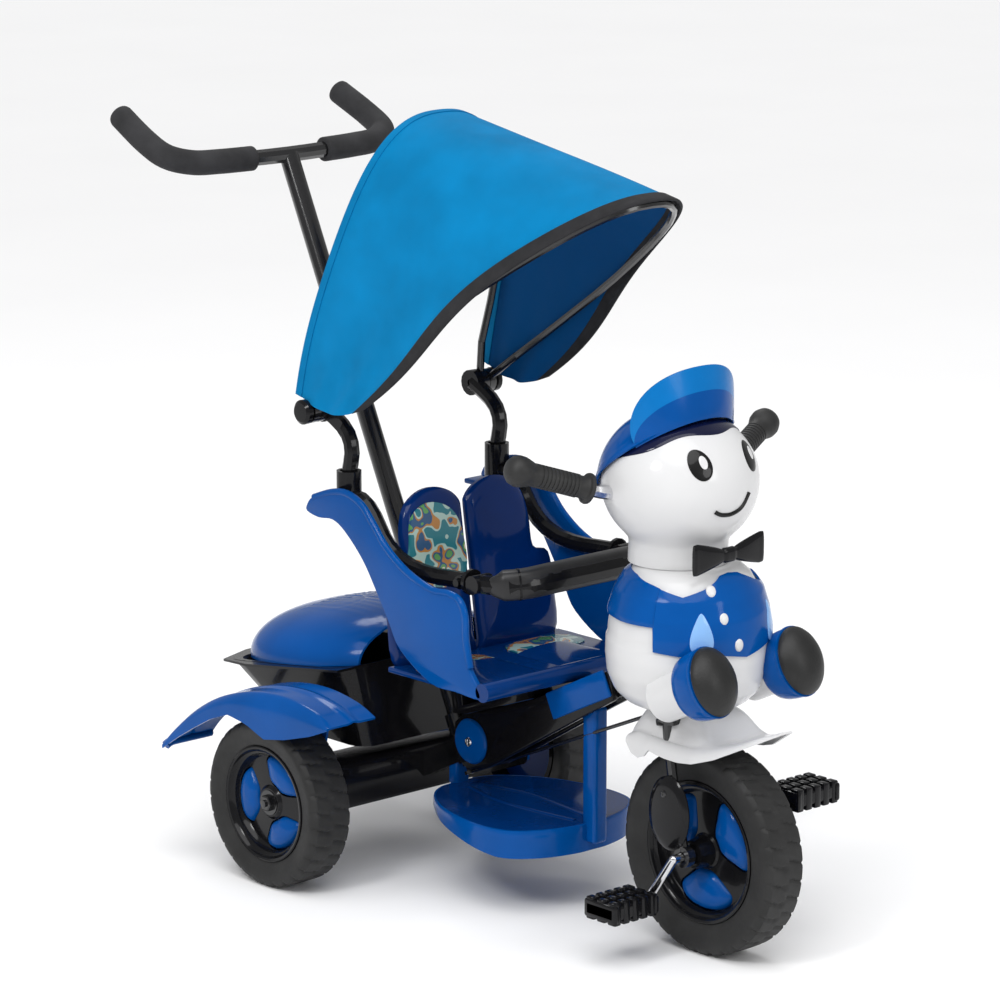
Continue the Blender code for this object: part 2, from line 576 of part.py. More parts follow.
def make_canopy():
    make_bow("rear_bow", REAR_BOW, 0.1345, CANOPY_PIVOT + Vector((0.004, 0, 0.052)), "canopy_rear")
    make_bow("front_bow", FRONT_BOW, 0.1455, CANOPY_PIVOT + Vector((0.058, 0, 0.040)), "canopy_front")
    across, down = 20, 5
    bm = bmesh.new()
    bmesh.ops.create_grid(bm, x_segments=across, y_segments=down, size=1.0)
    start = 0.035
    for vert in bm.verts:
        turn = start + (vert.co.x + 1) / 2 * (math.pi - 2 * start)
        step = (vert.co.y + 1) / 2
        rear, front = bow_point(REAR_BOW, turn, FABRIC_OFFSET), bow_point(FRONT_BOW, turn, FABRIC_OFFSET)
        bulge = 0.024 * math.sin(math.pi * step) * math.sin(turn) ** 2
        outward = ((rear + front) / 2 - CANOPY_PIVOT).normalized()
        vert.co = rear.lerp(front, step) + bulge * outward
    bmesh.ops.recalc_face_normals(bm, faces=bm.faces)
    sheet = mesh_object("canopy", bm, None, True)
    solid = sheet.modifiers.new("Solidify", "SOLIDIFY")
    solid.thickness = FABRIC_THICKNESS
    solid.offset = 0.0
    finish_part(sheet, "canopy_fabric", CANOPY_BLUE, "canopy_rear")
    for name, side in SIDES.items():
        path = [(x, side * y, z) for x, y, z in UPRIGHT_PATH]
        upright = pipe(path, 0.0100)
        foot = CANOPY_PIVOT + Vector((0, side * 0.123, 0))
        eye = rod(foot - Vector((0, 0.0055, 0)), foot + Vector((0, 0.0055, 0)), 0.0165, 16)
        trim = box_between((-0.04, min(side * 0.1289, side * 0.16), 0.56),
                           (0.03, max(side * 0.1289, side * 0.16), 0.62))
        hole = rod(foot - Vector((0, 0.02, 0)), foot + Vector((0, 0.02, 0)), 0.0044, 16)
        finish_part(cut(join(upright, eye), trim, hole), "canopy_upright_" + name, BLACK)
        knob = turned([(0.0, 0.0445), (0.0120, 0.0440), (0.0155, 0.0410), (0.0155, 0.0345),
                       (0.0120, 0.0325), (0.0040, 0.0325), (0.0040, 0.0), (0.0, 0.0)],
                      along((0, side, 0), CANOPY_PIVOT + Vector((0, side * 0.1190, 0))), 20, closed=False)
        finish_part(knob, "canopy_knob_" + name, BLACK)


# ---------------------------------------------------------------- wheels
def make_wheel(prefix, size, centre, outward, body, hub_half, outer_half, first_petal):
    """A tyre, a dished rim with three windows, and a blue insert behind the windows."""
    half_step = math.pi / TYRE_STEPS
    radius = size["radius"] / math.cos(half_step)
    rim, half = size["rim"], size["width"] / 2
    place = along((0, outward, 0), centre)
    tyre = [(rim, half * 0.90), (rim + 0.010, half), (radius - 0.014, half), (radius - 0.005, half * 0.82),
            (radius, half * 0.55), (radius, -half * 0.55), (radius - 0.005, -half * 0.82),
            (radius - 0.014, -half), (rim + 0.010, -half), (rim, -half * 0.90)]
    start = half_step + math.pi / 2
    finish_part(turned(tyre, place, TYRE_STEPS, start), prefix + "_tyre", RUBBER, body)
    lip, bore = rim - TOUCH * 2, AXLE_RADIUS + TOUCH
    web = half * 0.28
    profile = [(lip, half * 0.86), (lip, -half * 0.86), (lip - 0.005, -half * 0.86), (lip - 0.006, web - 0.005),
               (0.0165, web - 0.005), (0.0155, -hub_half), (bore, -hub_half), (bore, outer_half),
               (0.0145, outer_half), (0.0180, web + 0.004), (lip - 0.014, web), (lip - 0.005, half * 0.86)]
    disc = turned(profile, place, RIM_STEPS, start)
    reach = 0.55 * (lip + 0.012)
    for index in range(3):
        angle = math.radians(first_petal + 120 * index)
        petal = [(0.024, -0.010), (0.024, 0.010), (reach, 0.42 * lip), (lip - 0.017, 0.28 * lip),
                 (lip - 0.013, 0.0), (lip - 0.017, -0.28 * lip), (reach, -0.42 * lip)]
        window = plate(petal, 0.030, place @ Matrix.Rotation(angle, 4, "Z") @ Matrix.Translation((0, 0, web)))
        cut(disc, window)
    finish_part(disc, prefix + "_rim", BLACK, body)
    back = web - 0.005 - TOUCH
    insert = [(lip - 0.0066, back), (lip - 0.0066, back - 0.004), (0.0172, back - 0.004), (0.0172, back)]
    finish_part(turned(insert, place, RIM_STEPS, start), prefix + "_wheel_insert", BLUE, body)


def make_wheels():
    for name, side in SIDES.items():
        centre = PIVOTS["rear_wheel_" + name]
        make_wheel("rear_" + name, REAR_TYRE, centre, side, "rear_wheel_" + name, 0.0335, 0.0165, 60)
    make_wheel("front", FRONT_TYRE, FRONT_AXLE, -1, "front_wheel", 0.0360, 0.0360, 30)
    right, left = crank_pin("right"), crank_pin("left")
    path = [right - Vector((0, 0.036, 0)), right + Vector((0, PEDAL_Y - CRANK_PLANE, 0)),
            FRONT_AXLE - Vector((0, CRANK_PLANE - 0.004, 0)), FRONT_AXLE + Vector((0, CRANK_PLANE - 0.004, 0)),
            left - Vector((0, PEDAL_Y - CRANK_PLANE, 0)), left + Vector((0, 0.036, 0))]
    arms = [rod(first, second, PEDAL_PIN_RADIUS, 12) for first, second in zip(path, path[1:])]
    elbows = [ball([PEDAL_PIN_RADIUS * 1.03] * 3, point, 10, 6) for point in path[1:-1]]
    finish_part(join(arms[0], *elbows, *arms[1:]), "crankshaft", STEEL, "front_wheel")
    for name, side in SIDES.items():
        centre = crank_pin(name)
        block = box(PEDAL_SIZE, centre, 0.006)
        bore = rod(centre - Vector((0, 0.06, 0)), centre + Vector((0, 0.06, 0)),
                   PEDAL_PIN_RADIUS + TOUCH, 14)
        finish_part(cut(block, bore), "pedal_" + name, BLACK, "pedal_" + name)


# ---------------------------------------------------------------- steering
def make_fork():
    steerer = rod(steer_point(0.282), steer_point(0.543), STEERER_RADIUS, 14)
    crown = rod(steer_point(0.2785), steer_point(0.2885), 0.028, 22)
    bridge = box((0.030, 0.106, 0.009), along(STEER_AXIS, steer_point(0.2835)), 0.002)
    join(steerer, crown, bridge)
    hub_hole = rod(FRONT_AXLE - Vector((0, 0.07, 0)), FRONT_AXLE + Vector((0, 0.07, 0)),
                   AXLE_RADIUS + TOUCH, 20)
    for side in SIDES.values():
        leg_y = side * 0.0470
        leg = pipe([(0.5205, leg_y, 0.2835), (0.5240, leg_y, 0.2550), (0.5310, leg_y, 0.2150),
                    (0.5430, leg_y, 0.1600), (0.5520, leg_y, 0.1250)], 0.0062, 2, 2)
        lug = rod(FRONT_AXLE + Vector((0, side * 0.0415, 0)), FRONT_AXLE + Vector((0, side * 0.0525, 0)),
                  0.0130, 14)
        join(steerer, leg, lug)
    cut(steerer, hub_hole)
    finish_part(steerer, "fork", PAINTED, "steering")
    for name, side in SIDES.items():
        place = along((0, side, 0), (0.533, side * 0.0537, 0.1755))
        shield = turned([(0.0, 0.0075), (0.024, 0.0070), (0.031, 0.0050), (0.034, 0.0015), (0.034, 0.0),
                         (0.0, 0.0)], place, 28, closed=False)
        shield.scale = (0.98, 1.34, 1.0)
        finish_part(shield, "fork_shield_" + name, BLACK, "steering")


def make_handlebar():
    half = [(0.4685, 0.045, 0.5560), (0.4665, 0.090, 0.5570), (0.4600, 0.113, 0.5630),
            (0.4450, 0.158, 0.5785), (0.4320, 0.197, 0.5915)]
    bar = pipe(mirrored(half)[::-1] + [(0.4690, 0, 0.5560)] + half, 0.0085, 2, 2)
    stem = rod(steer_point(0.512), steer_point(0.566), 0.0162, 16)
    bore = rod(steer_point(0.500), steer_point(0.5440), STEERER_RADIUS + TOUCH, 16)
    finish_part(cut(join(bar, stem), bore), "handlebar", STEEL, "steering")
    for name, side in SIDES.items():
        inner, outer = Vector((0.4600, side * 0.113, 0.5630)), Vector((0.4310, side * 0.200, 0.5925))
        length = (outer - inner).length
        bore_radius = 0.0092
        sleeve = [(0.0, length + 0.018), (0.0130, length + 0.015), (0.0180, length + 0.007),
                  (0.0185, length - 0.002), (0.0150, length - 0.012), (0.0125, length - 0.022),
                  (0.0140, 0.030), (0.0125, 0.011), (0.0185, 0.008), (0.0185, 0.004),
                  (bore_radius, 0.004), (bore_radius, length + 0.004), (0.0, length + 0.004)]
        grip = turned(sleeve, along((outer - inner).normalized(), inner), 20, closed=False)
        finish_part(grip, "grip_" + name, BLACK, "steering")


def make_front_fender():
    top = [(0.468, 0.2655), (0.480, 0.2660), (0.500, 0.2640), (0.540, 0.2610), (0.580, 0.2625),
           (0.620, 0.2725), (0.648, 0.2840), (0.668, 0.2925)]
    under = [(0.667, 0.2880), (0.648, 0.2795), (0.620, 0.2680), (0.580, 0.2580), (0.540, 0.2565),
             (0.500, 0.2595), (0.480, 0.2615), (0.469, 0.2610)]
    skirt = [(0.468, 0.2650), (0.480, 0.2655), (0.500, 0.2635), (0.540, 0.2605), (0.580, 0.2620),
             (0.620, 0.2720), (0.640, 0.2800), (0.615, 0.2640), (0.580, 0.2540), (0.545, 0.2520),
             (0.515, 0.2500), (0.490, 0.2440), (0.474, 0.2500)]
    sheet = side_plate(top + under, -0.0605, 0.0605)
    flaps = [side_plate(skirt, *sorted((side * 0.0560, side * 0.0600))) for side in SIDES.values()]
    boss = rod(steer_point(0.260), steer_point(0.2781), 0.0110, 14)
    holes = [pipe([(0.5190, side * 0.0470, 0.2900), (0.5240, side * 0.0470, 0.2550),
                   (0.5310, side * 0.0470, 0.2150)], 0.0072, 2, 3) for side in SIDES.values()]
    finish_part(cut(join(sheet, *flaps, boss), *holes), "front_fender", WHITE, "steering")


# ---------------------------------------------------------------- doll
def shell_profile(outer, wall):
    """Close an outer (radius, height) line, given from top to bottom, with one a wall further in."""
    inner = [(radius - wall, height) for radius, height in outer]
    return outer + inner[::-1]


def foot_place(side, reach):
    return along(FOOT_AXIS, Vector((0.604, side * 0.072, 0.3485)) + reach * FOOT_AXIS)


def doll_envelope(grow):
    """A solid as wide as the doll's trousers and jacket, with some room around it."""
    line = [(0.0, 0.4600), (0.0830, 0.4500), (0.0960, 0.4150), (0.0990, 0.3930), (0.0985, 0.3784),
            (0.0965, 0.3600), (0.0945, 0.3370), (0.0860, 0.3160), (0.0700, 0.3010), (0.0, 0.2965)]
    grown = [(radius + grow if radius else 0.0, height) for radius, height in line]
    return turned(grown, Matrix.Translation((0.506, 0, 0)), 24, closed=False)


def make_doll_body():
    wall = 0.003
    axis_x = 0.506
    floor = 0.2965
    outer = [(0.0945, 0.3780), (0.0965, 0.3600), (0.0945, 0.3370), (0.0860, 0.3160), (0.0700, 0.3010),
             (0.0620, floor)]
    inner = [(0.0, 0.3850), (0.0912, 0.3850), (0.0935, 0.3600), (0.0912, 0.3380), (0.0825, 0.3180),
             (0.0680, floor + 0.0045), (0.0, floor + wall)]
    profile = [(0.0, 0.3780)] + outer + [(0.0, floor)]
    trousers = turned(profile, Matrix.Translation((axis_x, 0, 0)), 24, closed=False)
    hole = rod(steer_point(0.280), steer_point(0.330), 0.0135, 16)
    slot = box_between((0.380, -0.056, floor + 0.0035), (0.470, 0.056, 0.400))
    for side in SIDES.values():
        leg = rod(foot_place(side, -0.068).translation, foot_place(side, -0.0255).translation, 0.0270, 20)
        join(trousers, leg)
    within = turned(inner, Matrix.Translation((axis_x, 0, 0)), 24, closed=False)
    finish_part(cut(trousers, within, hole, slot), "doll_trousers", WHITE, "steering")

    collar = [(0.0640, 0.4665), (0.0760, 0.4560), (0.0870, 0.4380), (0.0935, 0.4150), (0.0965, 0.3930),
              (0.0955, 0.3784)]
    jacket = turned(shell_profile(collar, wall), Matrix.Translation((axis_x, 0, 0)), 24)
    jacket.scale = (1.0, 1.03, 1.0)
    finish_part(jacket, "doll_jacket", BLUE, "steering")

    for name, side in SIDES.items():
        shoe = turned([(0.0, 0.0180), (0.0370, 0.0180), (0.0400, 0.0060), (0.0385, -0.0120),
                       (0.0300, -0.0250), (0.0, -0.0250)], foot_place(side, 0), 26, closed=False)
        shoe.scale = (1.04, 0.84, 1.0)
        cut(shoe, doll_envelope(0.0008))
        finish_part(shoe, "shoe_" + name, BLUE, "steering")
        sole = turned([(0.0, 0.0390), (0.0180, 0.0370), (0.0310, 0.0315), (0.0390, 0.0240),
                       (0.0400, 0.0200), (0.0380, 0.0183), (0.0, 0.0183)], foot_place(side, 0), 26,
                      closed=False)
        sole.scale = (1.04, 0.84, 1.0)
        finish_part(sole, "sole_" + name, BLACK, "steering")

    tie = [(-0.057, -0.018), (-0.050, 0.019), (-0.012, 0.007), (0.0, 0.009), (0.012, 0.007),
           (0.050, 0.019), (0.057, -0.018), (0.012, -0.007), (0.0, -0.009), (-0.012, -0.007)]
    upright = Matrix(((0, 0, 1, 0.5720), (1, 0, 0, 0), (0, 1, 0, 0.4870), (0, 0, 0, 1)))
    finish_part(soften(plate(tie, 0.009, upright), 0.002), "bow_tie", BLACK, "steering")


def make_doll_head():
    wall = 0.003
    head = ball(HEAD_RADII, HEAD_CENTRE, 22, 14)
    neck = rod((0.489, 0, 0.4672), (0.489, 0, 0.510), 0.060, 24)
    hollow = ball([r - wall for r in HEAD_RADII], HEAD_CENTRE, 22, 14)
    throat = rod((0.489, 0, 0.460), (0.489, 0, 0.515), 0.057, 24)
    bar_way = [rod((0.4680, side * 0.060, 0.5560), (0.4655, side * 0.110, 0.5590), 0.0115, 16)
               for side in SIDES.values()]
    finish_part(cut(join(head, neck), hollow, throat, *bar_way), "doll_head", WHITE, "steering")

    forward = Vector((math.cos(CAP_TILT), 0, math.sin(CAP_TILT)))
    cap_place = along(CAP_AXIS, HEAD_CENTRE)
    gap = 0.0012
    dome = ball([r + gap + wall for r in HEAD_RADII], HEAD_CENTRE, 22, 14)
    inside = ball([r + gap for r in HEAD_RADII], HEAD_CENTRE, 22, 14)
    below = box((0.30, 0.30, 0.20), along(CAP_AXIS, HEAD_CENTRE - 0.062 * CAP_AXIS))
    inner, outer = 0.0833, 0.1120
    low, high = 0.0384, 0.1010
    visor = turned([(outer, high), (inner + wall, low), (inner, low), (outer - wall, high)], cap_place, 30)
    keep_front = box((0.10, 0.160, 0.20), along(CAP_AXIS, HEAD_CENTRE + 0.118 * forward + 0.07 * CAP_AXIS))
    keep(visor, keep_front)
    cap = join(dome, visor)
    cut(cap, inside, below)
    finish_part(cap, "doll_cap", BLUE, "steering")


# ---------------------------------------------------------------- push handle and linkage
def make_push_pole():
    pole = rod(POLE_FOOT - 0.0225 * POLE_AXIS, T_POINT, POLE_RADIUS, 16)
    half = [(-0.2252, 0.060, 0.8715), (-0.2262, 0.110, 0.8725), (-0.2310, 0.150, 0.8745),
            (-0.2480, 0.1785, 0.8830), (-0.2830, 0.1840, 0.8990), (-0.3330, 0.1805, 0.9225)]
    path = mirrored(half)[::-1] + [(-0.2242, 0, 0.8710)] + half
    bar = pipe(path, BAR_RADIUS)
    pin = rod(PIVOTS["link"], PIVOTS["link"] + 0.016 * POLE_AXIS, 0.0022, 10)
    finish_part(join(pole, bar, pin), "push_pole", PAINTED, "push_pole")
    for name, side in SIDES.items():
        path = [(x, side * y, z) for x, y, z in half]
        ends = (Vector(path[-1]) - Vector(path[-2])).normalized()
        starts = (Vector(path[0]) - Vector(path[1])).normalized()
        tip = Vector(path[-1]) + 0.008 * ends
        sleeve = pipe([*path[:-1], tip], 0.0152)
        tunnel = pipe([Vector(path[0]) + 0.012 * starts, *path[:-1], Vector(path[-1]) + 0.001 * ends],
                      BAR_RADIUS + TOUCH + 0.0002)
        finish_part(cut(sleeve, tunnel), "push_grip_" + name, FOAM, "push_pole")
    start = PIVOTS["link"]
    end = Vector((0.474, -0.009, 0.2800))
    link = rod(start, end, 0.0024, 10)
    eye_rear = rod(start - 0.0022 * POLE_AXIS, start + 0.0022 * POLE_AXIS, 0.0062, 14)
    eye_front = rod(end - 0.0022 * STEER_AXIS, end + 0.0022 * STEER_AXIS, 0.0062, 14)
    pin_hole = rod(start - 0.01 * POLE_AXIS, start + 0.01 * POLE_AXIS, 0.0036, 12)
    front_hole = rod(end - 0.01 * STEER_AXIS, end + 0.01 * STEER_AXIS, 0.0026, 12)
    finish_part(cut(join(link, eye_rear, eye_front), pin_hole, front_hole), "steering_link", PAINTED, "link")


make_main_beam()
make_housings()
make_rear_axle()
make_fenders()
make_footrest()
make_bucket()
make_lid()
make_seat()
make_guard_arms()
make_guard()
make_canopy()
make_wheels()
make_fork()
make_handlebar()
make_front_fender()
make_doll_body()
make_doll_head()
make_push_pole()
bpy.context.view_layer.update()
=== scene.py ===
"""Looks for the children's tricycle: moulded shells, tyres, canopy cloth and the doll."""

import json
from math import atan2, copysign, cos, degrees, exp, pi, radians, sin, sqrt, tan

import bmesh
import bpy
import numpy as np
from mathutils import Matrix, Vector

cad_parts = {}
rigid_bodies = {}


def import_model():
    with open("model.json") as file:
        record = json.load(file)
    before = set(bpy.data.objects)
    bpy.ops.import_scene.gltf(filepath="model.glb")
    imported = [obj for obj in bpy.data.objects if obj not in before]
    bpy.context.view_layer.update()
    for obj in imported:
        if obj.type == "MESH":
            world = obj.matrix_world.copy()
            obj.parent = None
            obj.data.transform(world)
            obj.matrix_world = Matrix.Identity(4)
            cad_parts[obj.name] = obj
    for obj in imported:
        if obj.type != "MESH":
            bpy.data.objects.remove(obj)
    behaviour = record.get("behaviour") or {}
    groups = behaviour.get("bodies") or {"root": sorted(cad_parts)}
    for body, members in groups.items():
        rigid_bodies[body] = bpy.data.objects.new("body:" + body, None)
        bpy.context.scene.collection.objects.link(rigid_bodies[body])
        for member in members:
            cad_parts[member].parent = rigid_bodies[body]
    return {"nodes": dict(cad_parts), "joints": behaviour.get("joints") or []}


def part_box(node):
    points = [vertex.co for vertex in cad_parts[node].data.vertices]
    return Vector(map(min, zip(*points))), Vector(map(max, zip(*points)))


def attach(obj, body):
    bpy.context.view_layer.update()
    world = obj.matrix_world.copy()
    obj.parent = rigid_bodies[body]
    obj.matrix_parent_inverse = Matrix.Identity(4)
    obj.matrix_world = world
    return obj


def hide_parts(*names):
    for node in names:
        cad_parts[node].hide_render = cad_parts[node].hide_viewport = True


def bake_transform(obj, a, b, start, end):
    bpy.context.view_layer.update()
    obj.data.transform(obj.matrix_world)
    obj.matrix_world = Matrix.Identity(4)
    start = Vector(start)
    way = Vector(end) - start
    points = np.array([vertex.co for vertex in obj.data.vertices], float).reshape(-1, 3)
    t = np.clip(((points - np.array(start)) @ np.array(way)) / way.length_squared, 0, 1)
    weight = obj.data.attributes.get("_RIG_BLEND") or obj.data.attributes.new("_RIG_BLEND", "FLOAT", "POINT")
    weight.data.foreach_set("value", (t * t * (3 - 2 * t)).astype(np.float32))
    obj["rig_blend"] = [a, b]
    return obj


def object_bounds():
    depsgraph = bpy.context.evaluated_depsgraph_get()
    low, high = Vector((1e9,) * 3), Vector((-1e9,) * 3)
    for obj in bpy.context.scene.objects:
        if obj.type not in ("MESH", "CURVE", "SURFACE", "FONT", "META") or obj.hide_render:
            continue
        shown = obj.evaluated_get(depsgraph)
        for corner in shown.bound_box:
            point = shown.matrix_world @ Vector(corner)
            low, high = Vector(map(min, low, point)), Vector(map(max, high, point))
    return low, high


for old in list(bpy.data.objects):
    bpy.data.objects.remove(old, do_unlink=True)

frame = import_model()
cad_low, cad_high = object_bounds()
JOINTS = {joint["name"]: joint for joint in frame["joints"]}
REAR_AXLE_X = JOINTS["rear_wheel_left_spin"]["pos_m"][0]
SIDES = {"right": -1, "left": 1}


def spaced(low, high, count):
    """Evenly spaced numbers."""
    return np.linspace(low, high, count).tolist()


def around(count):
    """Evenly spaced turns of a full circle."""
    return np.linspace(0, 2 * pi, count, endpoint=False).tolist()


def signed(value, power):
    """The absolute value to a power, with the value's own sign."""
    return copysign(abs(value) ** power, value)


def graph(x, points):
    """The height at x of the straight lines through the points."""
    return float(np.interp(x, *zip(*points)))


def at(x, y, z):
    """A point by its distance ahead of the rear axle, to the left and above the ground."""
    return Vector((x + REAR_AXLE_X, y, z))


# ---------------------------------------------------------------- materials
class Nodes:
    """A short way to write a material's node tree."""

    def __init__(self, name):
        self.material = bpy.data.materials.new(name)
        self.material.use_nodes = True
        self.tree = self.material.node_tree
        self.shader = self.tree.nodes["Principled BSDF"]
        self.place = self.add("ShaderNodeTexCoord").outputs["Object"]

    def add(self, kind, **settings):
        node = self.tree.nodes.new(kind)
        for key, value in settings.items():
            setattr(node, key, value)
        return node

    def link(self, output, target):
        self.tree.links.new(output, target)

    def fill(self, node, **values):
        for key, value in values.items():
            node.inputs[key.replace("_", " ")].default_value = value
        return node

    def moved(self, **values):
        """The object's own coordinates, shifted or stretched."""
        mapping = self.fill(self.add("ShaderNodeMapping"), **values)
        self.link(self.place, mapping.inputs["Vector"])
        return mapping.outputs["Vector"]

    def noise(self, scale, detail=4.0, stretch=None):
        node = self.fill(self.add("ShaderNodeTexNoise"), Scale=scale, Detail=detail)
        self.link(self.moved(Scale=stretch) if stretch else self.place, node.inputs["Vector"])
        return node.outputs["Fac"]

    def ramp(self, factor, low, high, low_at=0.3, high_at=0.7):
        node = self.add("ShaderNodeValToRGB")
        node.color_ramp.elements[0].position = low_at
        node.color_ramp.elements[1].position = high_at
        node.color_ramp.elements[0].color = (*low, 1)
        node.color_ramp.elements[1].color = (*high, 1)
        self.link(factor, node.inputs["Fac"])
        return node.outputs["Color"]

    def bump(self, height, distance, strength=1.0, below=None):
        node = self.fill(self.add("ShaderNodeBump"), Strength=strength, Distance=distance)
        self.link(height, node.inputs["Height"])
        if below:
            self.link(below, node.inputs["Normal"])
        self.link(node.outputs["Normal"], self.shader.inputs["Normal"])
        return node.outputs["Normal"]

    def tone(self, output):
        self.link(output, self.shader.inputs["Base Color"])

    def gloss(self, factor, low, high):
        node = self.fill(self.add("ShaderNodeMapRange"), To_Min=low, To_Max=high)
        self.link(factor, node.inputs["Value"])
        self.link(node.outputs["Result"], self.shader.inputs["Roughness"])

    def set(self, **values):
        self.fill(self.shader, **values)


def tint(colour, factor):
    return tuple(min(1.0, channel * factor) for channel in colour)


def moulded(name, colour, roughness=0.2, coat=0.35, grain=0.00006, spread=0.12, shine=0.12):
    """Moulded plastic: slight tone variation, a faint orange-peel bump and uneven gloss from handling."""
    nodes = Nodes(name)
    nodes.tone(nodes.ramp(nodes.noise(9.0), tint(colour, 1 - spread), tint(colour, 1 + spread)))
    nodes.gloss(nodes.noise(38.0, 6.0), roughness * 0.75, roughness * 1.35)
    nodes.set(Coat_Weight=coat, Coat_Roughness=0.04, Specular_IOR_Level=shine)
    nodes.bump(nodes.noise(240.0, 2.0), grain, 0.35)
    return nodes.material


def metal(name, colour, roughness, metallic=1.0, coat=0.0):
    """Plated or painted tube: fine streaks along its length and faint smears."""
    nodes = Nodes(name)
    nodes.tone(nodes.ramp(nodes.noise(30.0), tint(colour, 0.9), tint(colour, 1.08)))
    nodes.gloss(nodes.noise(60.0, 6.0, (1, 1, 6)), roughness * 0.7, roughness * 1.4)
    nodes.set(Metallic=metallic, Coat_Weight=coat, Coat_Roughness=0.08)
    nodes.bump(nodes.noise(500.0, 2.0), 0.00003, 0.3)
    return nodes.material


def rubber(name, colour, roughness, pore=0.00025, scale=420.0):
    """Matt rubber or foam: open pores, dusty tone variation."""
    nodes = Nodes(name)
    nodes.tone(nodes.ramp(nodes.noise(26.0, 6.0), tint(colour, 0.75), tint(colour, 1.5)))
    nodes.gloss(nodes.noise(90.0), roughness * 0.85, min(1.0, roughness * 1.15))
    nodes.set(Specular_IOR_Level=0.4)
    nodes.bump(nodes.noise(scale, 3.0), pore, 0.7)
    return nodes.material


WAVE_SCALE = 0.314      # the wave texture's scale times the length of one wave


def cloth(name, colour, shaded_inside, weave=0.0011):
    """Plain woven cloth: crossed threads, slubs, soft sheen, and a darker colour on its back faces, which is
    painted shade.
    """
    nodes = Nodes(name)
    waves = []
    for direction in ("X", "Y"):
        wave = nodes.fill(nodes.add("ShaderNodeTexWave", wave_type="BANDS", bands_direction=direction),
                          Scale=WAVE_SCALE / weave, Distortion=0.6, Detail=1.0)
        nodes.link(nodes.add("ShaderNodeUVMap", uv_map="cloth").outputs["UV"], wave.inputs["Vector"])
        waves.append(wave.outputs["Fac"])
    crossed = nodes.add("ShaderNodeMath", operation="MULTIPLY")
    nodes.link(waves[0], crossed.inputs[0])
    nodes.link(waves[1], crossed.inputs[1])
    tone = nodes.ramp(nodes.noise(14.0, 6.0), tint(colour, 0.86), tint(colour, 1.12))
    threads = nodes.fill(nodes.add("ShaderNodeMix", data_type="RGBA", blend_type="MULTIPLY"), Factor=0.22)
    nodes.link(tone, threads.inputs["A"])
    nodes.link(nodes.ramp(crossed.outputs["Value"], (0.45,) * 3, (1.0,) * 3, 0.1, 0.8), threads.inputs["B"])
    # painted shade: back faces take the darker inside colour
    side = nodes.add("ShaderNodeMix", data_type="RGBA")
    nodes.link(nodes.add("ShaderNodeNewGeometry").outputs["Backfacing"], side.inputs["Factor"])
    nodes.link(threads.outputs["Result"], side.inputs["A"])
    side.inputs["B"].default_value = (*shaded_inside, 1)
    nodes.tone(side.outputs["Result"])
    nodes.gloss(nodes.noise(60.0), 0.72, 0.92)
    nodes.set(Sheen_Weight=0.02, Sheen_Roughness=0.4, Specular_IOR_Level=0.08)
    folds = nodes.bump(nodes.noise(7.0, 3.0, (1, 1, 0.35)), 0.004, 0.5)
    nodes.bump(crossed.outputs["Value"], 0.0004, 0.5, folds)
    return nodes.material


def sticker(name, seed):
    """A bright abstract print of soft patches under clear film."""
    nodes = Nodes(name)
    cells = nodes.fill(nodes.add("ShaderNodeTexVoronoi", feature="SMOOTH_F1"), Scale=75.0)
    nodes.link(nodes.moved(Location=(seed, 0.0, seed)), cells.inputs["Vector"])
    split = nodes.add("ShaderNodeSeparateColor")
    nodes.link(cells.outputs["Color"], split.inputs["Color"])
    ramp = nodes.add("ShaderNodeValToRGB")
    ramp.color_ramp.interpolation = "CONSTANT"
    stops = ramp.color_ramp.elements
    stops[0].color = (0.02, 0.2, 0.24, 1)
    stops[1].color = (0.3, 0.08, 0.04, 1)
    for position, *colour in ((0.3, 0.45, 0.62, 0.55), (0.45, 0.5, 0.22, 0.05), (0.58, 0.03, 0.1, 0.22),
                              (0.75, 0.12, 0.35, 0.1), (0.88, 0.8, 0.72, 0.55)):
        stops.new(position).color = (*colour, 1)
    nodes.link(split.outputs["Red"], ramp.inputs["Fac"])
    nodes.tone(ramp.outputs["Color"])
    nodes.gloss(nodes.noise(80.0), 0.16, 0.3)
    nodes.set(Coat_Weight=0.6, Coat_Roughness=0.08)
    nodes.bump(nodes.noise(300.0, 2.0), 0.00004, 0.3)
    return nodes.material


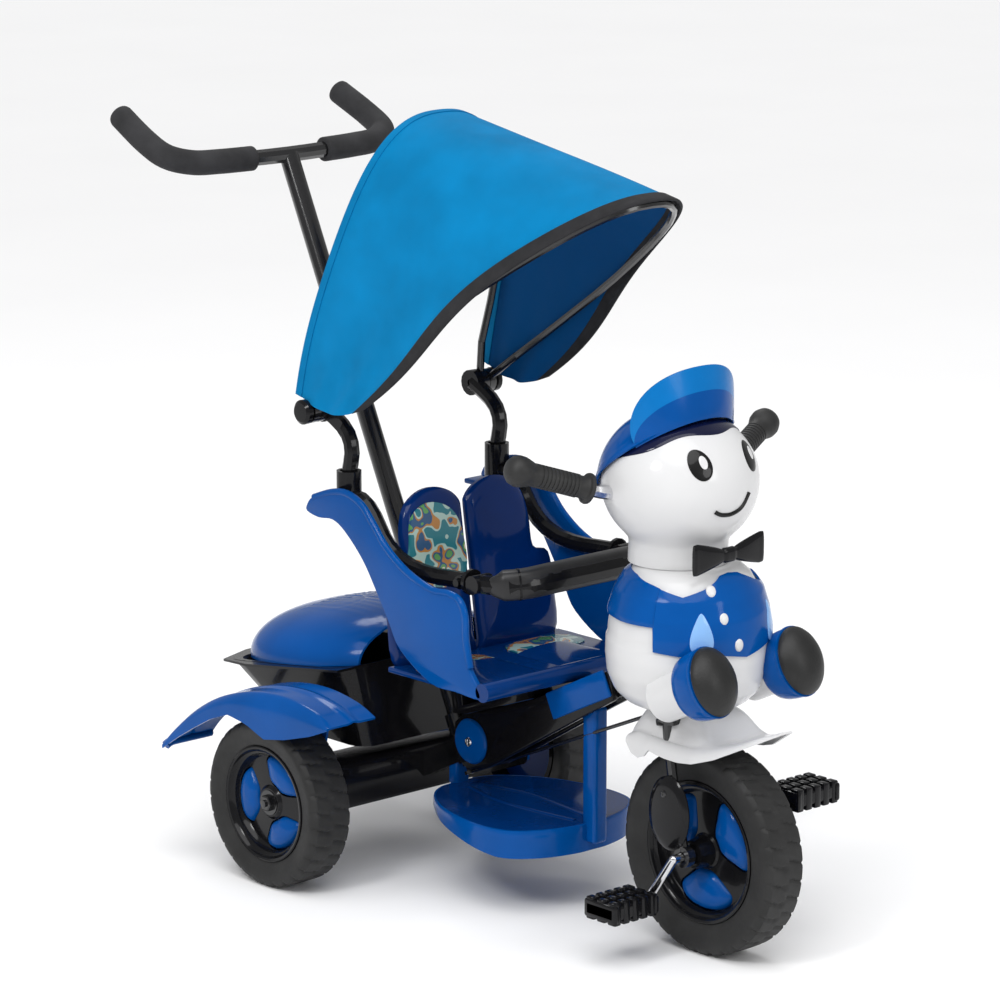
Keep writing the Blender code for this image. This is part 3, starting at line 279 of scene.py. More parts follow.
BLUE = (0.0003, 0.069, 0.295)
LOOKS = {
    "blue": moulded("blue_moulding", BLUE, 0.15, 0.05),
    # painted shade: a darker copy of the blue moulding, for the seat pan, lip and footrest dish that lie in
    # shade
    "deep": moulded("blue_moulding_painted_shade", (0.0008, 0.034, 0.17), 0.12, 0.15),
    # painted shade: a still darker copy of the blue moulding, for the seat back lobes and the disc behind the
    # wheel petals
    "deeper_shade_blue": moulded("blue_moulding_deeper_painted_shade", (0.001, 0.022, 0.13), 0.12, 0.25),
    "light_blue": moulded("light_blue_moulding", (0.001, 0.15, 0.45), 0.22, 0.06),
    # painted highlight: a pale blue for the ovals that stand for a reflection on the jacket front
    "highlight_blue": moulded("jacket_painted_highlight", (0.22, 0.42, 0.74), 0.22, 0.4),
    "hair": moulded("dark_navy_print", (0.003, 0.005, 0.03), 0.25, 0.4),
    "white": moulded("white_moulding", (0.66, 0.66, 0.665), 0.2, 0.3, spread=0.02),
    "black": moulded("black_moulding", (0.006, 0.006, 0.007), 0.17, 0.2),
    "print": moulded("black_print", (0.006, 0.006, 0.006), 0.3, 0.3),
    "guard": rubber("guard_cover", (0.012, 0.012, 0.013), 0.42, 0.00018, 260.0),
    "grip": rubber("grip_rubber", (0.014, 0.014, 0.014), 0.55, 0.00015, 500.0),
    "foam": rubber("handle_foam", (0.022, 0.022, 0.024), 0.92, 0.0005, 650.0),
    "tyre": rubber("tyre_rubber", (0.012, 0.012, 0.012), 0.62),
    "sole": rubber("sole_rubber", (0.009, 0.009, 0.009), 0.48, 0.00035, 330.0),
    "painted": metal("black_enamel", (0.007, 0.007, 0.008), 0.18, 0.0, 0.3),
    "chrome": metal("bright_plating", (0.7, 0.7, 0.72), 0.14),
    # painted shade: each cloth's second colour darkens its inside faces
    "canopy": cloth("canopy_cloth", (0.0006, 0.215, 0.49), (0.001, 0.078, 0.25)),
    "hem": cloth("canopy_hem", (0.0006, 0.19, 0.44), (0.001, 0.055, 0.2)),
    "binding": rubber("canopy_binding", (0.012, 0.012, 0.014), 0.85, 0.0003, 700.0),
    "print_back": sticker("seat_back_print", 0.13),
    "print_pan": sticker("seat_pan_print", 0.71),
}


# ---------------------------------------------------------------- mesh helpers
def new_object(name, mesh):
    obj = bpy.data.objects.new(name, mesh)
    bpy.context.scene.collection.objects.link(obj)
    return obj


def from_bmesh(name, bm):
    bmesh.ops.recalc_face_normals(bm, faces=bm.faces)
    mesh = bpy.data.meshes.new(name)
    bm.to_mesh(mesh)
    bm.free()
    return new_object(name, mesh)


def surface(name, points, wrap_u=False, wrap_v=False, cap=False):
    """A smooth quad surface through a grid of points; cap closes its first and last rows."""
    points = np.asarray(points, float)
    rows, columns = points.shape[:2]
    bm = bmesh.new()
    verts = [[bm.verts.new(points[i, j]) for j in range(columns)] for i in range(rows)]
    for i in range(rows if wrap_u else rows - 1):
        for j in range(columns if wrap_v else columns - 1):
            k, m = (i + 1) % rows, (j + 1) % columns
            bm.faces.new((verts[i][j], verts[k][j], verts[k][m], verts[i][m]))
    if cap:
        bm.faces.new(verts[0])
        bm.faces.new(verts[-1])
    bmesh.ops.remove_doubles(bm, verts=bm.verts, dist=1e-6)
    return from_bmesh(name, bm)


def solid(name, rings):
    """A closed skin over rings of points."""
    return surface(name, rings, wrap_v=True, cap=True)


def frame_to(axis, centre):
    turn = Vector((0, 0, 1)).rotation_difference(Vector(axis)).to_matrix().to_4x4()
    return Matrix.Translation(Vector(centre)) @ turn


def spun(name, profile, place, steps=96, closed=True, scale=(1, 1)):
    """Revolve a (radius, height) outline about local Z."""
    rings = [[place @ Vector((r * cos(a) * scale[0], r * sin(a) * scale[1], z)) for r, z in profile]
             for a in around(steps)]
    return surface(name, rings, wrap_u=True, wrap_v=closed)


def sweep(name, path, section, up=Vector((0, 0, 1)), cap=True):
    """Carry a closed (side, up) section along a path; section may be a function of the share travelled."""
    path = [Vector(p) for p in path]
    rings = []
    for i, point in enumerate(path):
        ahead = (path[min(i + 1, len(path) - 1)] - path[max(i - 1, 0)]).normalized()
        side = ahead.cross(up).normalized()
        lift = side.cross(ahead)
        shape = section(i / (len(path) - 1)) if callable(section) else section
        rings.append([point + a * side + b * lift for a, b in shape])
    return surface(name, rings, wrap_v=True, cap=cap)


def curve_points(points, steps=8, cyclic=False):
    """Catmull-Rom line through the points."""
    points = [Vector(p) for p in points]
    count = len(points)
    line = []
    for i in range(count if cyclic else count - 1):
        if cyclic:
            a, b, c, d = (points[(i + k) % count] for k in (-1, 0, 1, 2))
        else:
            a, b, c, d = points[max(i - 1, 0)], points[i], points[i + 1], points[min(i + 2, count - 1)]
        for step in range(steps):
            t = step / steps
            line.append(0.5 * ((2 * b) + (c - a) * t + (2 * a - 5 * b + 4 * c - d) * t * t
                               + (3 * b - a - 3 * c + d) * t ** 3))
    if not cyclic:
        line.append(points[-1])
    return line


def circle(radius, count=20, squash=1.0):
    return [(radius * cos(a), radius * squash * sin(a)) for a in around(count)]


def cushion(name, place, outline, smooth, middle, layers):
    """A plate with a domed face: its outline, drawn in to the middle by each layer's share at its depth."""
    middle = Vector((*middle, 0))
    line = curve_points([(y, z, 0) for y, z in outline], smooth, True)
    rings = [[place @ Vector((depth, *(middle + (p - middle) * share).xy)) for p in line]
             for share, depth in layers]
    return solid(name, rings)


def slab(name, outline, low, high, axis="Y", bevel=0.0, steps=5, segments=3):
    """A plate with a smooth (x, z) or (x, y) outline from low to high along its axis, edges rounded."""
    line = [Vector((a, b, 0)) for a, b in outline]
    if steps > 1:
        line = curve_points(line, steps, True)
    bm = bmesh.new()
    bottom, top = ([bm.verts.new(at(p.x, level, p.y) if axis == "Y" else at(p.x, p.y, level)) for p in line]
                   for level in (low, high))
    bm.faces.new(bottom)
    bm.faces.new(top)
    for i in range(len(line)):
        k = (i + 1) % len(line)
        bm.faces.new((bottom[i], bottom[k], top[k], top[i]))
    return rounded(from_bmesh(name, bm), bevel, segments)


def rounded(obj, width, segments=3, angle=30):
    if width:
        step = obj.modifiers.new("Bevel", "BEVEL")
        step.width, step.segments, step.limit_method = width, segments, "ANGLE"
        step.angle_limit = radians(angle)
    return obj


def shelled(obj, thickness, offset=0.0):
    """Thickness for a sheet: on both sides of it, or inwards with offset -1."""
    step = obj.modifiers.new("Shell", "SOLIDIFY")
    step.thickness, step.offset = thickness, offset
    return obj


def crisp(obj, angle=38):
    """Smooth shading that breaks at sharp edges."""
    for face in obj.data.polygons:
        face.use_smooth = True
    step = obj.modifiers.new("Crisp", "EDGE_SPLIT")
    step.split_angle = radians(angle)
    return obj


def settle(obj):
    """Apply the modifiers."""
    bpy.context.view_layer.update()
    mesh = bpy.data.meshes.new_from_object(obj.evaluated_get(bpy.context.evaluated_depsgraph_get()))
    obj.modifiers.clear()
    obj.data = mesh
    return obj


def carved(obj, operation, *others):
    for other in others:
        step = obj.modifiers.new("Boolean", "BOOLEAN")
        step.operation, step.solver, step.object = operation, "EXACT", other
    settle(obj)
    for other in others:
        bpy.data.objects.remove(other, do_unlink=True)
    return obj


def joined(first, *others):
    """One object made of several, with their modifiers applied."""
    bm = bmesh.new()
    for obj in (first, *others):
        settle(obj)
        mesh = obj.data
        mesh.transform(obj.matrix_world)
        bm.from_mesh(mesh)
    for other in others:
        bpy.data.objects.remove(other, do_unlink=True)
    mesh = bpy.data.meshes.new(first.name)
    bm.to_mesh(mesh)
    bm.free()
    first.data = mesh
    return first


def box_mesh(name, size, place, bevel=0.0, segments=3):
    bm = bmesh.new()
    bmesh.ops.create_cube(bm, size=1.0, matrix=place @ Matrix.Diagonal((*size, 1)))
    return rounded(from_bmesh(name, bm), bevel, segments)


def dress(obj, look, body, replaces=(), split=38):
    """Give a piece its material, crisp edges, its body and the CAD nodes that it stands for."""
    obj.data.materials.append(LOOKS[look])
    crisp(obj, split)
    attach(obj, body)
    if replaces:
        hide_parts(*replaces)
    return obj


def dress_all(name, pieces, look, body, replaces=(), split=38):
    """Several shapes as one dressed piece of this name."""
    pieces[0].name = name
    dress(joined(*pieces), look, body, replaces, split)


# ---------------------------------------------------------------- wheels
def tyre(name, centre, half, rim, body, node, blocks):
    """A round tyre with slanted lateral grooves between chunky tread blocks."""
    radius, per_block = centre.z, 8
    wall = radius - 0.01 - rim - 0.004
    profile = [(rim + 0.004 + wall * share ** 0.8, half * (0.86 + 0.14 * sin(share * pi / 2)))
               for share in spaced(0, 1, 9)]
    profile += [(radius - 0.006, half * 0.97), (radius - 0.0035, half * 0.9)]
    mirror = [(r, -y) for r, y in profile[::-1]]
    tread = [(radius - 0.0012 * abs(y) ** 2, half * y) for y in spaced(0.8, -0.8, 13)]
    outline = [(rim, half * 0.8)] + profile + tread + mirror + [(rim, -half * 0.8)]

    def worn(r, y, index):
        across = abs(y) / half
        phase = (index / per_block + 0.42 * across * (1 if y > 0 else -1) + (0.5 if y > 0 else 0)) % 1.0
        groove = 0.002 if phase < 0.2 and across > 0.08 and r > radius - 0.007 else 0.0
        wave = sin(index / per_block * 2 * pi) if radius - 0.012 < r <= radius - 0.007 else 0.0
        return r - groove + 0.0008 * wave * 0.6

    rings = []
    for index, angle in enumerate(around(blocks * per_block)):
        ring = [(worn(r, y, index), y) for r, y in outline]
        rings.append([centre + Vector((r * cos(angle), y, r * sin(angle))) for r, y in ring])
    dress(surface(name, rings, wrap_u=True, wrap_v=True), "tyre", body, (node,), 30)


def wheel_centre(name, centre, outward, half, rim, body, hub_out, hub_in, first):
    """A black ring with three broad spokes and three domed blue petals, the first at an angle."""
    place = frame_to((0, outward, 0), centre)
    lip, web = rim - 0.0008, half * 0.28
    profile = [(lip, half * 0.84), (lip - 0.0015, half * 0.86), (lip - 0.004, half * 0.84),
               (lip - 0.0055, half * 0.74), (lip - 0.0075, half * 0.66), (lip - 0.01, half * 0.62),
               (lip - 0.0115, half * 0.45), (lip - 0.015, web + 0.0015), (0.022, web + 0.004),
               (0.0195, web + 0.0065), (0.018, min(hub_out, half * 0.9)), (0.0165, hub_out),
               (0.0066, hub_out), (0.0066, -hub_in), (0.015, -hub_in), (0.0165, web - 0.005),
               (lip - 0.0066, web - 0.005), (lip - 0.006, -half * 0.84), (lip, -half * 0.84)]
    disc = spun(name + "_rim", profile, place)
    inner, outer, spread = 0.0235, lip - 0.013, radians(45)
    clearance = 0.0012
    petals, cutters = [], []
    for index in range(3):
        middle = radians(first + 120 * index)

        def ring(share, z, grow=0.0):
            points = []
            for turn in around(40):
                a = signed(cos(turn), 0.55) * share
                b = signed(sin(turn), 0.55) * share
                radius = (inner + outer) / 2 + b * ((outer - inner) / 2 + grow)
                narrowing = 0.66 + 0.34 * ((b + 1) / 2) ** 0.7
                angle = middle + a * (spread * narrowing + grow / radius)
                points.append(place @ Vector((radius * cos(angle), radius * sin(angle), z)))
            return points

        cutters.append(solid("cutter", [ring(1.0, web + z, clearance) for z in (-0.02, 0.02)]))
        dome = [ring(share, web - 0.0035 + height) for share, height in
                ((1.0, -0.003), (1.0, 0.003), (0.97, 0.0056), (0.9, 0.0085), (0.78, 0.011), (0.62, 0.0128),
                 (0.42, 0.014), (0.2, 0.0146), (0.02, 0.0148))]
        petals.append(solid("petal", dome))
    carved(disc, "DIFFERENCE", *cutters)
    dress(disc, "black", body, (name + "_rim",), 32)
    dress_all(name + "_petals", petals, "blue", body, (name + "_wheel_insert",), 50)
    backing = spun(name + "_backing", [(lip - 0.0066, web - 0.0053), (lip - 0.0066, web - 0.009),
                                       (0.0172, web - 0.009), (0.0172, web - 0.0053)], place, 64)
    # painted shade: the disc behind the petals is darker blue for the shade in the wheel's recess
    dress(backing, "deeper_shade_blue", body)


def hex_nut(name, centre, outward, size, depth):
    place = frame_to((0, outward, 0), centre)
    nut = spun(name, [(0.0, depth), (size * 0.86, depth), (size, depth * 0.8), (size, 0.0), (0.0, 0.0)],
               place, 6, closed=False)
    washer = spun("washer", [(size * 1.5, 0.0), (size * 1.5, -0.001), (0.0, -0.001), (0.0, 0.0)], place, 40)
    tip = spun("tip", [(0.0, depth + 0.003), (size * 0.42, depth + 0.0025), (size * 0.46, 0.0), (0.0, 0.0)],
               place, 20, closed=False)
    return joined(nut, washer, tip)


REAR_RIM, FRONT_RIM = 0.074, 0.087      # radius under the tyre


def make_wheels():
    for name, side in SIDES.items():
        body, prefix = "rear_wheel_" + name, "rear_" + name
        centre = Vector(JOINTS[body + "_spin"]["pos_m"])
        low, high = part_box(prefix + "_tyre")
        half = (high.y - low.y) / 2
        tyre(prefix + "_tread", centre, half, REAR_RIM, body, prefix + "_tyre", 30)
        wheel_centre(prefix, centre, side, half, REAR_RIM, body, 0.0165, 0.0335, 60)
        nut = hex_nut(prefix + "_nut", centre + Vector((0, side * 0.0175, 0)), side, 0.0105, 0.0065)
        dress(nut, "painted", body, split=30)
    centre = Vector(JOINTS["front_wheel_spin"]["pos_m"])
    low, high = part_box("front_tyre")
    half = (high.y - low.y) / 2
    tyre("front_tread", centre, half, FRONT_RIM, "front_wheel", "front_tyre", 34)
    wheel_centre("front", centre, -1, half, FRONT_RIM, "front_wheel", 0.036, 0.036, 30)


def make_pedals():
    """Knobbly pedals: a ribbed core with rows of blocks on both treads."""
    for name in SIDES:
        centre = Vector(JOINTS[f"pedal_{name}_spin"]["pos_m"])
        low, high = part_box("pedal_" + name)
        size = high - low
        core = box_mesh(f"pedal_{name}_tread", (size.x * 0.88, size.y * 0.98, size.z * 0.62),
                        Matrix.Translation(centre), 0.003)
        blocks = []
        for i in range(5):
            for j in range(3):
                shift = Vector(((j - 1) * size.x * 0.33, (i - 2) * size.y * 0.198, 0))
                blocks.append(box_mesh("block", (size.x * 0.25, size.y * 0.145, size.z),
                                       Matrix.Translation(centre + shift), 0.0022, 2))
        for end in (-1, 1):
            place = Matrix.Translation(centre + Vector((0, end * size.y * 0.44, 0)))
            blocks.append(box_mesh("block", (size.x * 0.98, size.y * 0.1, size.z * 0.8), place, 0.003, 2))
        dress(joined(core, *blocks), "black", "pedal_" + name, ("pedal_" + name,), 40)


# ---------------------------------------------------------------- canopy
PIVOT = Vector(JOINTS["canopy_tilt"]["pos_m"])
REAR_BOW = (radians(78.5), 0.362, 0.1475, 2.5)     # tilt, height, half width, power
FRONT_BOW = (radians(33.2), 0.536, 0.1445, 2.4)
CLOTH_OFFSET, CLOTH_RISE = 0.008, 0.004


def bow_point(bow, turn, grow=CLOTH_OFFSET):
    tilt, height, half, power = bow
    across = signed(cos(turn), 2 / power) * (half + grow)
    rise = abs(sin(turn)) ** (2 / power) * (height + grow * (1 + CLOTH_RISE / CLOTH_OFFSET))
    return PIVOT + Vector((rise * cos(tilt), across, rise * sin(tilt)))


def canopy_point(share, step):
    """A point of the taut sheet: share runs from the left foot over the top, step from rear bow to front."""
    start = 0.035
    turn = start + share * (pi - 2 * start)
    rear, front = bow_point(REAR_BOW, turn), bow_point(FRONT_BOW, turn)
    outward = ((rear + front) / 2 - PIVOT).normalized()
    bulge = 0.002 * sin(pi * step) * sin(turn) ** 2
    edge = exp(-(min(share, 1 - share) / 0.1) ** 2)
    corner = exp(-(min(share, 1 - share) / 0.125) ** 2)
    rear = rear + corner * Vector((-0.02, 0, -0.004))
    front = front + corner * Vector((0.08, 0, 0.0))
    folds = 0.0022 * edge * sin(step * 19 + 3 * share) * sin(pi * step)
    drape = 0.0012 * sin(share * 23 + step * 4) * sin(pi * step)
    droop = corner * 0.016 * sin(pi * step)
    return rear.lerp(front, step) + (bulge + folds + drape) * outward - Vector((0, 0, droop))


def make_canopy():
    columns, rows = 120, 36
    points = [[canopy_point(i / columns, j / rows) for j in range(rows + 1)] for i in range(columns + 1)]
    rear, front = [row[0] for row in points], [row[-1] for row in points]
    width = sum((b - a).length for a, b in zip(front, front[1:]))
    length = max((b - a).length for a, b in zip(rear, front))
    # The flat cut: taut strips from edge to edge, without the bulge, folds and droop between them.
    sheet = surface("canopy_cloth", points)
    mesh = sheet.data
    layer = mesh.uv_layers.new(name="cloth")
    for loop in mesh.loops:
        i, j = divmod(loop.vertex_index, rows + 1)
        layer.data[loop.index].uv = (i / columns * width, j / rows * length)
    if sum(f.normal.dot(f.center - PIVOT) for f in mesh.polygons) < 0:
        mesh.flip_normals()
    mesh.materials.append(LOOKS["canopy"])
    for face in mesh.polygons:
        face.use_smooth = True
    top = points[columns // 2]
    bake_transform(sheet, "canopy_rear", "canopy_front", start=top[0], end=top[-1])
    # The share that each point follows the front bow by, easing in and out between the bows.
    shares = [k % (rows + 1) / rows for k in range(len(mesh.vertices))]
    weights = [t * t * (3 - 2 * t) for t in shares]
    mesh.attributes["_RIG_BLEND"].data.foreach_set("value", np.array(weights, np.float32))
    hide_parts("canopy_fabric")

    def band(name, near, breadth, lift, under):
        """A folded strip of one breadth along the cloth's front edge (near 1) or its rear edge (near 0)."""
        rings = []
        for i, row in enumerate(points):
            share = i / columns
            depth = sum((b - a).length for a, b in zip(row, row[1:]))
            far = near + (1 if near < 0.5 else -1) * min(0.45, breadth / depth)
            line = [canopy_point(share, s) for s in spaced(near, far, 5)]
            ahead = (canopy_point(share, 1.0) - canopy_point(share, 0.97)).normalized()
            along = canopy_point(min(share + 0.004, 1), near) - canopy_point(max(share - 0.004, 0), near)
            normal = along.cross(ahead).normalized()
            if normal.dot(line[0] - PIVOT) < 0:
                normal = -normal
            lip = line[0] + 0.0022 * (ahead if near > 0.5 else -ahead)
            rings.append([p + lift * normal for p in line[::-1]] + [lip + 0.4 * lift * normal]
                         + [lip - 0.4 * under * normal] + [p - under * normal for p in line])
        return solid(name, rings)

    edge = band("canopy_front_binding", 1.0, 0.021, 0.0018, 0.0018)
    dress(edge, "binding", "canopy_front", split=60)
    hem = band("canopy_rear_hem", 0.0, 0.009, 0.0012, 0.0012)
    dress(hem, "hem", "canopy_rear", split=60)


# ---------------------------------------------------------------- push handle and bars
def make_push_grips():
    half = [(-0.2252, 0.06, 0.8715), (-0.2262, 0.11, 0.8725), (-0.231, 0.15, 0.8745),
            (-0.248, 0.1785, 0.883), (-0.283, 0.184, 0.899), (-0.333, 0.1805, 0.9225)]
    for name, side in SIDES.items():
        path = curve_points([at(x, side * y, z) for x, y, z in half], 12)
        ends = (path[-1] - path[-2]).normalized()
        starts = (path[0] - path[1]).normalized()
        path = ([path[0] + 0.0015 * starts] + path
                + [path[-1] + s * ends for s in (0.003, 0.006, 0.0078, 0.0082)])
        count = len(path) - 1
        radii = [0.0142] + [0.0158] * (count - 3) + [0.015, 0.0128, 0.008]
        rings = [circle(radius, 28) for radius in radii]
        grip = sweep(f"push_foam_{name}", path, lambda share: rings[round(share * count)],
                     up=Vector((-0.4, 0, 0.9)))
        dress(grip, "foam", "push_pole", ("push_grip_" + name,), 60)


def make_grips():
    """Tapered, ribbed hand grips with a flange at the inner end and a rounded end."""
    for name, side in SIDES.items():
        inner, outer = at(0.46, side * 0.113, 0.563), at(0.431, side * 0.2, 0.5925)
        length = (outer - inner).length
        place = frame_to((outer - inner).normalized(), inner)
        profile = [(0.0, length + 0.0178), (0.006, length + 0.0176), (0.012, length + 0.0158),
                   (0.0165, length + 0.011), (0.0186, length + 0.004), (0.0182, length - 0.003),
                   (0.0158, length - 0.01), (0.0138, length - 0.015)]
        for index in range(11):
            start = length - 0.02 - index * 0.0052
            profile += [(0.0141, start), (0.0141, start - 0.003), (0.0131, start - 0.0035),
                        (0.0131, start - 0.0047)]
        profile += [(0.0135, 0.013), (0.015, 0.01), (0.018, 0.0088), (0.0186, 0.0065), (0.018, 0.0042),
                    (0.0092, 0.004)]
        dress(spun(f"hand_grip_{name}", profile, place, 56, closed=False), "grip", "steering",
              ("grip_" + name,), 34)


def make_guard():
    half = [(0.29, 0.1195, 0.4185), (0.3, 0.116, 0.419), (0.308, 0.109, 0.42),
            (0.317, 0.098, 0.421), (0.323, 0.083, 0.422), (0.327, 0.06, 0.4235),
            (0.3285, 0.03, 0.424)]
    middle = at(0.329, 0, 0.4242)
    path = curve_points([at(x, -y, z) for x, y, z in half] + [middle] + [at(*p) for p in half[::-1]], 6)
    count = len(path) - 1

    def section(share):
        grow = min(1.0, 0.45 + 4.5 * min(share, 1 - share))
        return [(0.015 * grow * signed(cos(a), 0.7), 0.0185 * grow * signed(sin(a), 0.7))
                for a in around(32)]

    pad = sweep("guard_pad", path, section)
    dress(pad, "guard", "guard", split=50)
    seams = []
    for share in (0.22, 0.78):
        index = round(share * count)
        ahead = (path[index + 1] - path[index - 1]).normalized()
        seams.append(sweep("seam", [path[index] - 0.0012 * ahead, path[index] + 0.0012 * ahead],
                           [(a * 1.04, b * 1.04) for a, b in section(0.5)]))
    dress_all("guard_seams", seams, "black", "guard", split=40)


# ---------------------------------------------------------------- shells
def make_seat():
    half = 0.15        # from the middle to a wing's outer face
    top = [(-0.0155, 0.471), (-0.004, 0.483), (0.03, 0.495), (0.059, 0.498), (0.087, 0.488), (0.109, 0.467),
           (0.133, 0.442), (0.17, 0.419), (0.216, 0.405), (0.245, 0.406), (0.265, 0.401), (0.275, 0.384),
           (0.277, 0.354), (0.284, 0.321), (0.306, 0.293)]
    bottom = [(0.3, 0.284), (0.261, 0.2855), (0.215, 0.2875), (0.16, 0.318), (0.138, 0.35), (0.114, 0.386),
              (0.09, 0.419), (0.058, 0.448), (0.034, 0.46), (0.007, 0.4585), (-0.0145, 0.463)]
    shells = []
    for side in SIDES.values():
        low, high = sorted((side * (half - 0.008), side * half))
        shells.append(slab("wing", top + bottom, low, high, bevel=0.0028, steps=4))
        rim = curve_points([at(x, side * (half - 0.0035), z - 0.0012) for x, z in top[1:-1]], 4)
        shells.append(sweep("rim", rim, circle(0.0046, 12)))
        shells.append(slab("deck", [(0.0, 0.464), (0.063, 0.464), (0.063, 0.4705), (0.0, 0.4705)],
                           *sorted((side * 0.098, side * 0.145)), bevel=0.002, steps=1))
    seat = [box_mesh("pan", (0.178, 0.286, 0.007), Matrix.Translation(at(0.218, 0, 0.287)), 0.002)]
    lip = [at(0.309, y, 0.294) for y in spaced(-half, half, 9)]
    seat.append(sweep("lip", lip, circle(0.0115, 24)))
    for side in SIDES.values():
        thigh = curve_points([at(0.19, side * 0.06, 0.2885), at(0.245, side * 0.062, 0.289),
                              at(0.3, side * 0.066, 0.2905)], 5)
        seat.append(sweep("thigh", thigh, [(a, max(b, -0.002)) for a, b in circle(0.048, 28, 0.14)]))
    dress_all("seat_moulding", shells, "blue", "root", ("seat_shell",), 42)
    # painted shade: the pan, lip and thighs take the darker blue
    dress_all("seat_pan_moulding", seat, "deep", "root", split=42)

    low, high = at(0.134, 0, 0.284), at(0.101, 0, 0.5)
    lean = atan2(low.x - high.x, high.z - low.z)
    place = Matrix.Translation(low) @ Matrix.Rotation(-lean, 4, "Y")
    lobe = [(0.004, 0.08), (0.004, 0.02), (0.006, 0.002), (0.06, 0.0), (0.13, 0.003), (0.137, 0.06),
            (0.133, 0.108), (0.108, 0.12), (0.105, 0.165), (0.095, 0.196), (0.072, 0.2125), (0.045, 0.216),
            (0.02, 0.208), (0.0065, 0.196), (0.004, 0.185), (0.004, 0.14)]
    layers = ((1.0, -0.0035), (1.0, 0.0015), (0.975, 0.0042), (0.93, 0.0068), (0.84, 0.0092), (0.7, 0.0105),
              (0.45, 0.0112), (0.02, 0.0115))
    lobes = [cushion("lobe", place, [(y * side, z) for y, z in lobe], 4, (side * 0.062, 0.1), layers)
             for side in SIDES.values()]
    # painted shade: the back lobes take the darkest blue
    dress_all("seat_back_lobes", lobes, "deeper_shade_blue", "root", split=42)

    fan = [(-0.012, 0.11), (-0.014, 0.16), (-0.03, 0.188), (-0.064, 0.199), (-0.092, 0.184), (-0.1, 0.15),
           (-0.102, 0.122), (-0.08, 0.098), (-0.04, 0.092)]
    fan_print = cushion("seat_back_print", place, fan, 5, (-0.056, 0.145),
                        ((1.0, 0.007), (1.0, 0.0114), (0.9, 0.0122), (0.5, 0.0125), (0.02, 0.0125)))
    dress(fan_print, "print_back", "root", split=40)
    for side_name, side in SIDES.items():
        outline = [(0.152, side * 0.03), (0.152, side * 0.118), (0.2, side * 0.122), (0.206, side * 0.028)]
        print_pan = slab(f"seat_pan_print_{side_name}", outline, 0.2906, 0.2914, "Z", 0.0003, 3)
        dress(print_pan, "print_pan", "root", split=40)


def make_lid():
    slope = radians(7.6)
    rim = 0.24 + (-0.072 + 0.18) * tan(slope) + 0.0005
    centre = at(-0.072, 0, rim)
    place = Matrix.Translation(centre) @ Matrix.Rotation(-slope, 4, "Y")
    rows, columns, power = 40, 96, 0.86
    grid = []
    for rise in spaced(0, pi / 2, rows + 1):
        ring = []
        for turn in around(columns):
            x = 0.1525 * signed(cos(turn), power) * cos(rise) ** 0.8
            y = 0.1405 * signed(sin(turn), power) * cos(rise) ** 0.8
            ribbed = abs(y) < 0.075 and x > -0.045 and rise > 0.5
            rib = 0.0009 * max(0.0, sin(y * 2 * pi / 0.0135)) if ribbed else 0.0
            ring.append(place @ Vector((x, y, 0.064 * sin(rise) ** 0.95 - 0.0012 + rib)))
        grid.append(ring)
    dome = surface("lid_dome", grid, wrap_v=True)
    cutters = [box_mesh("cutter", (0.2, 0.4, 0.3), Matrix.Translation(at(0.134, 0, 0.28))),
               box_mesh("cutter", (0.17, 0.042, 0.3), Matrix.Translation(at(0.065, 0, 0.28)))]
    settle(shelled(dome, 0.0028, -1.0))
    carved(dome, "DIFFERENCE", *cutters)
    dress(dome, "blue", "lid", ("basket_lid",), 50)


def make_fenders():
    """Curved guards over the rear wheels, with a lobed outer skirt and a rolled tail."""
    top = [(-0.183, 0.15), (-0.16, 0.1745), (-0.12, 0.206), (-0.07, 0.232), (-0.01, 0.249), (0.05, 0.254),
           (0.105, 0.247), (0.1395, 0.2345)]
    edge = [(-0.183, 0.144), (-0.15, 0.1655), (-0.12, 0.183), (-0.085, 0.202), (-0.05, 0.215),
            (-0.015, 0.21), (0.02, 0.1975), (0.06, 0.205), (0.108, 0.219), (0.1395, 0.232)]
    bracket = [(-0.02, 0.092), (0.04, 0.092), (0.04, 0.14), (0.062, 0.25), (0.01, 0.245), (-0.04, 0.238),
               (-0.02, 0.14)]
    for name, side in SIDES.items():
        rings = []
        for p in curve_points([(x, 0, z) for x, z in top], 6):
            low = graph(p.x, edge)
            ring = []
            for share in spaced(0, 1, 45):
                flat, bend = min(1.0, share / 0.6), max(0.0, (share - 0.6) / 0.4)
                y = 0.1728 + 0.0674 * flat + 0.01 * sin(pi / 2 * min(1.0, bend * 1.6))
                crease = 0.002 * exp(-((share - 0.3) / 0.05) ** 2)
                ring.append(at(p.x, side * y, p.z - 0.0016 + crease + (low - p.z) * bend ** 1.4))
            rings.append(ring)
        shell = shelled(surface(f"fender_shell_{name}", rings), 0.003)
        inner = slab("bracket", bracket, *sorted((side * 0.1728, side * 0.1764)), bevel=0.001, steps=1)
        tail = sweep("tail", [at(-0.181, side * y, 0.15 - 0.004 * max(0.0, (y - 0.235) / 0.012) ** 2)
                              for y in spaced(0.1745, 0.247, 16)], circle(0.0058, 18))
        dress(joined(shell, inner, tail), "blue", "root", ("fender_" + name,), 50)


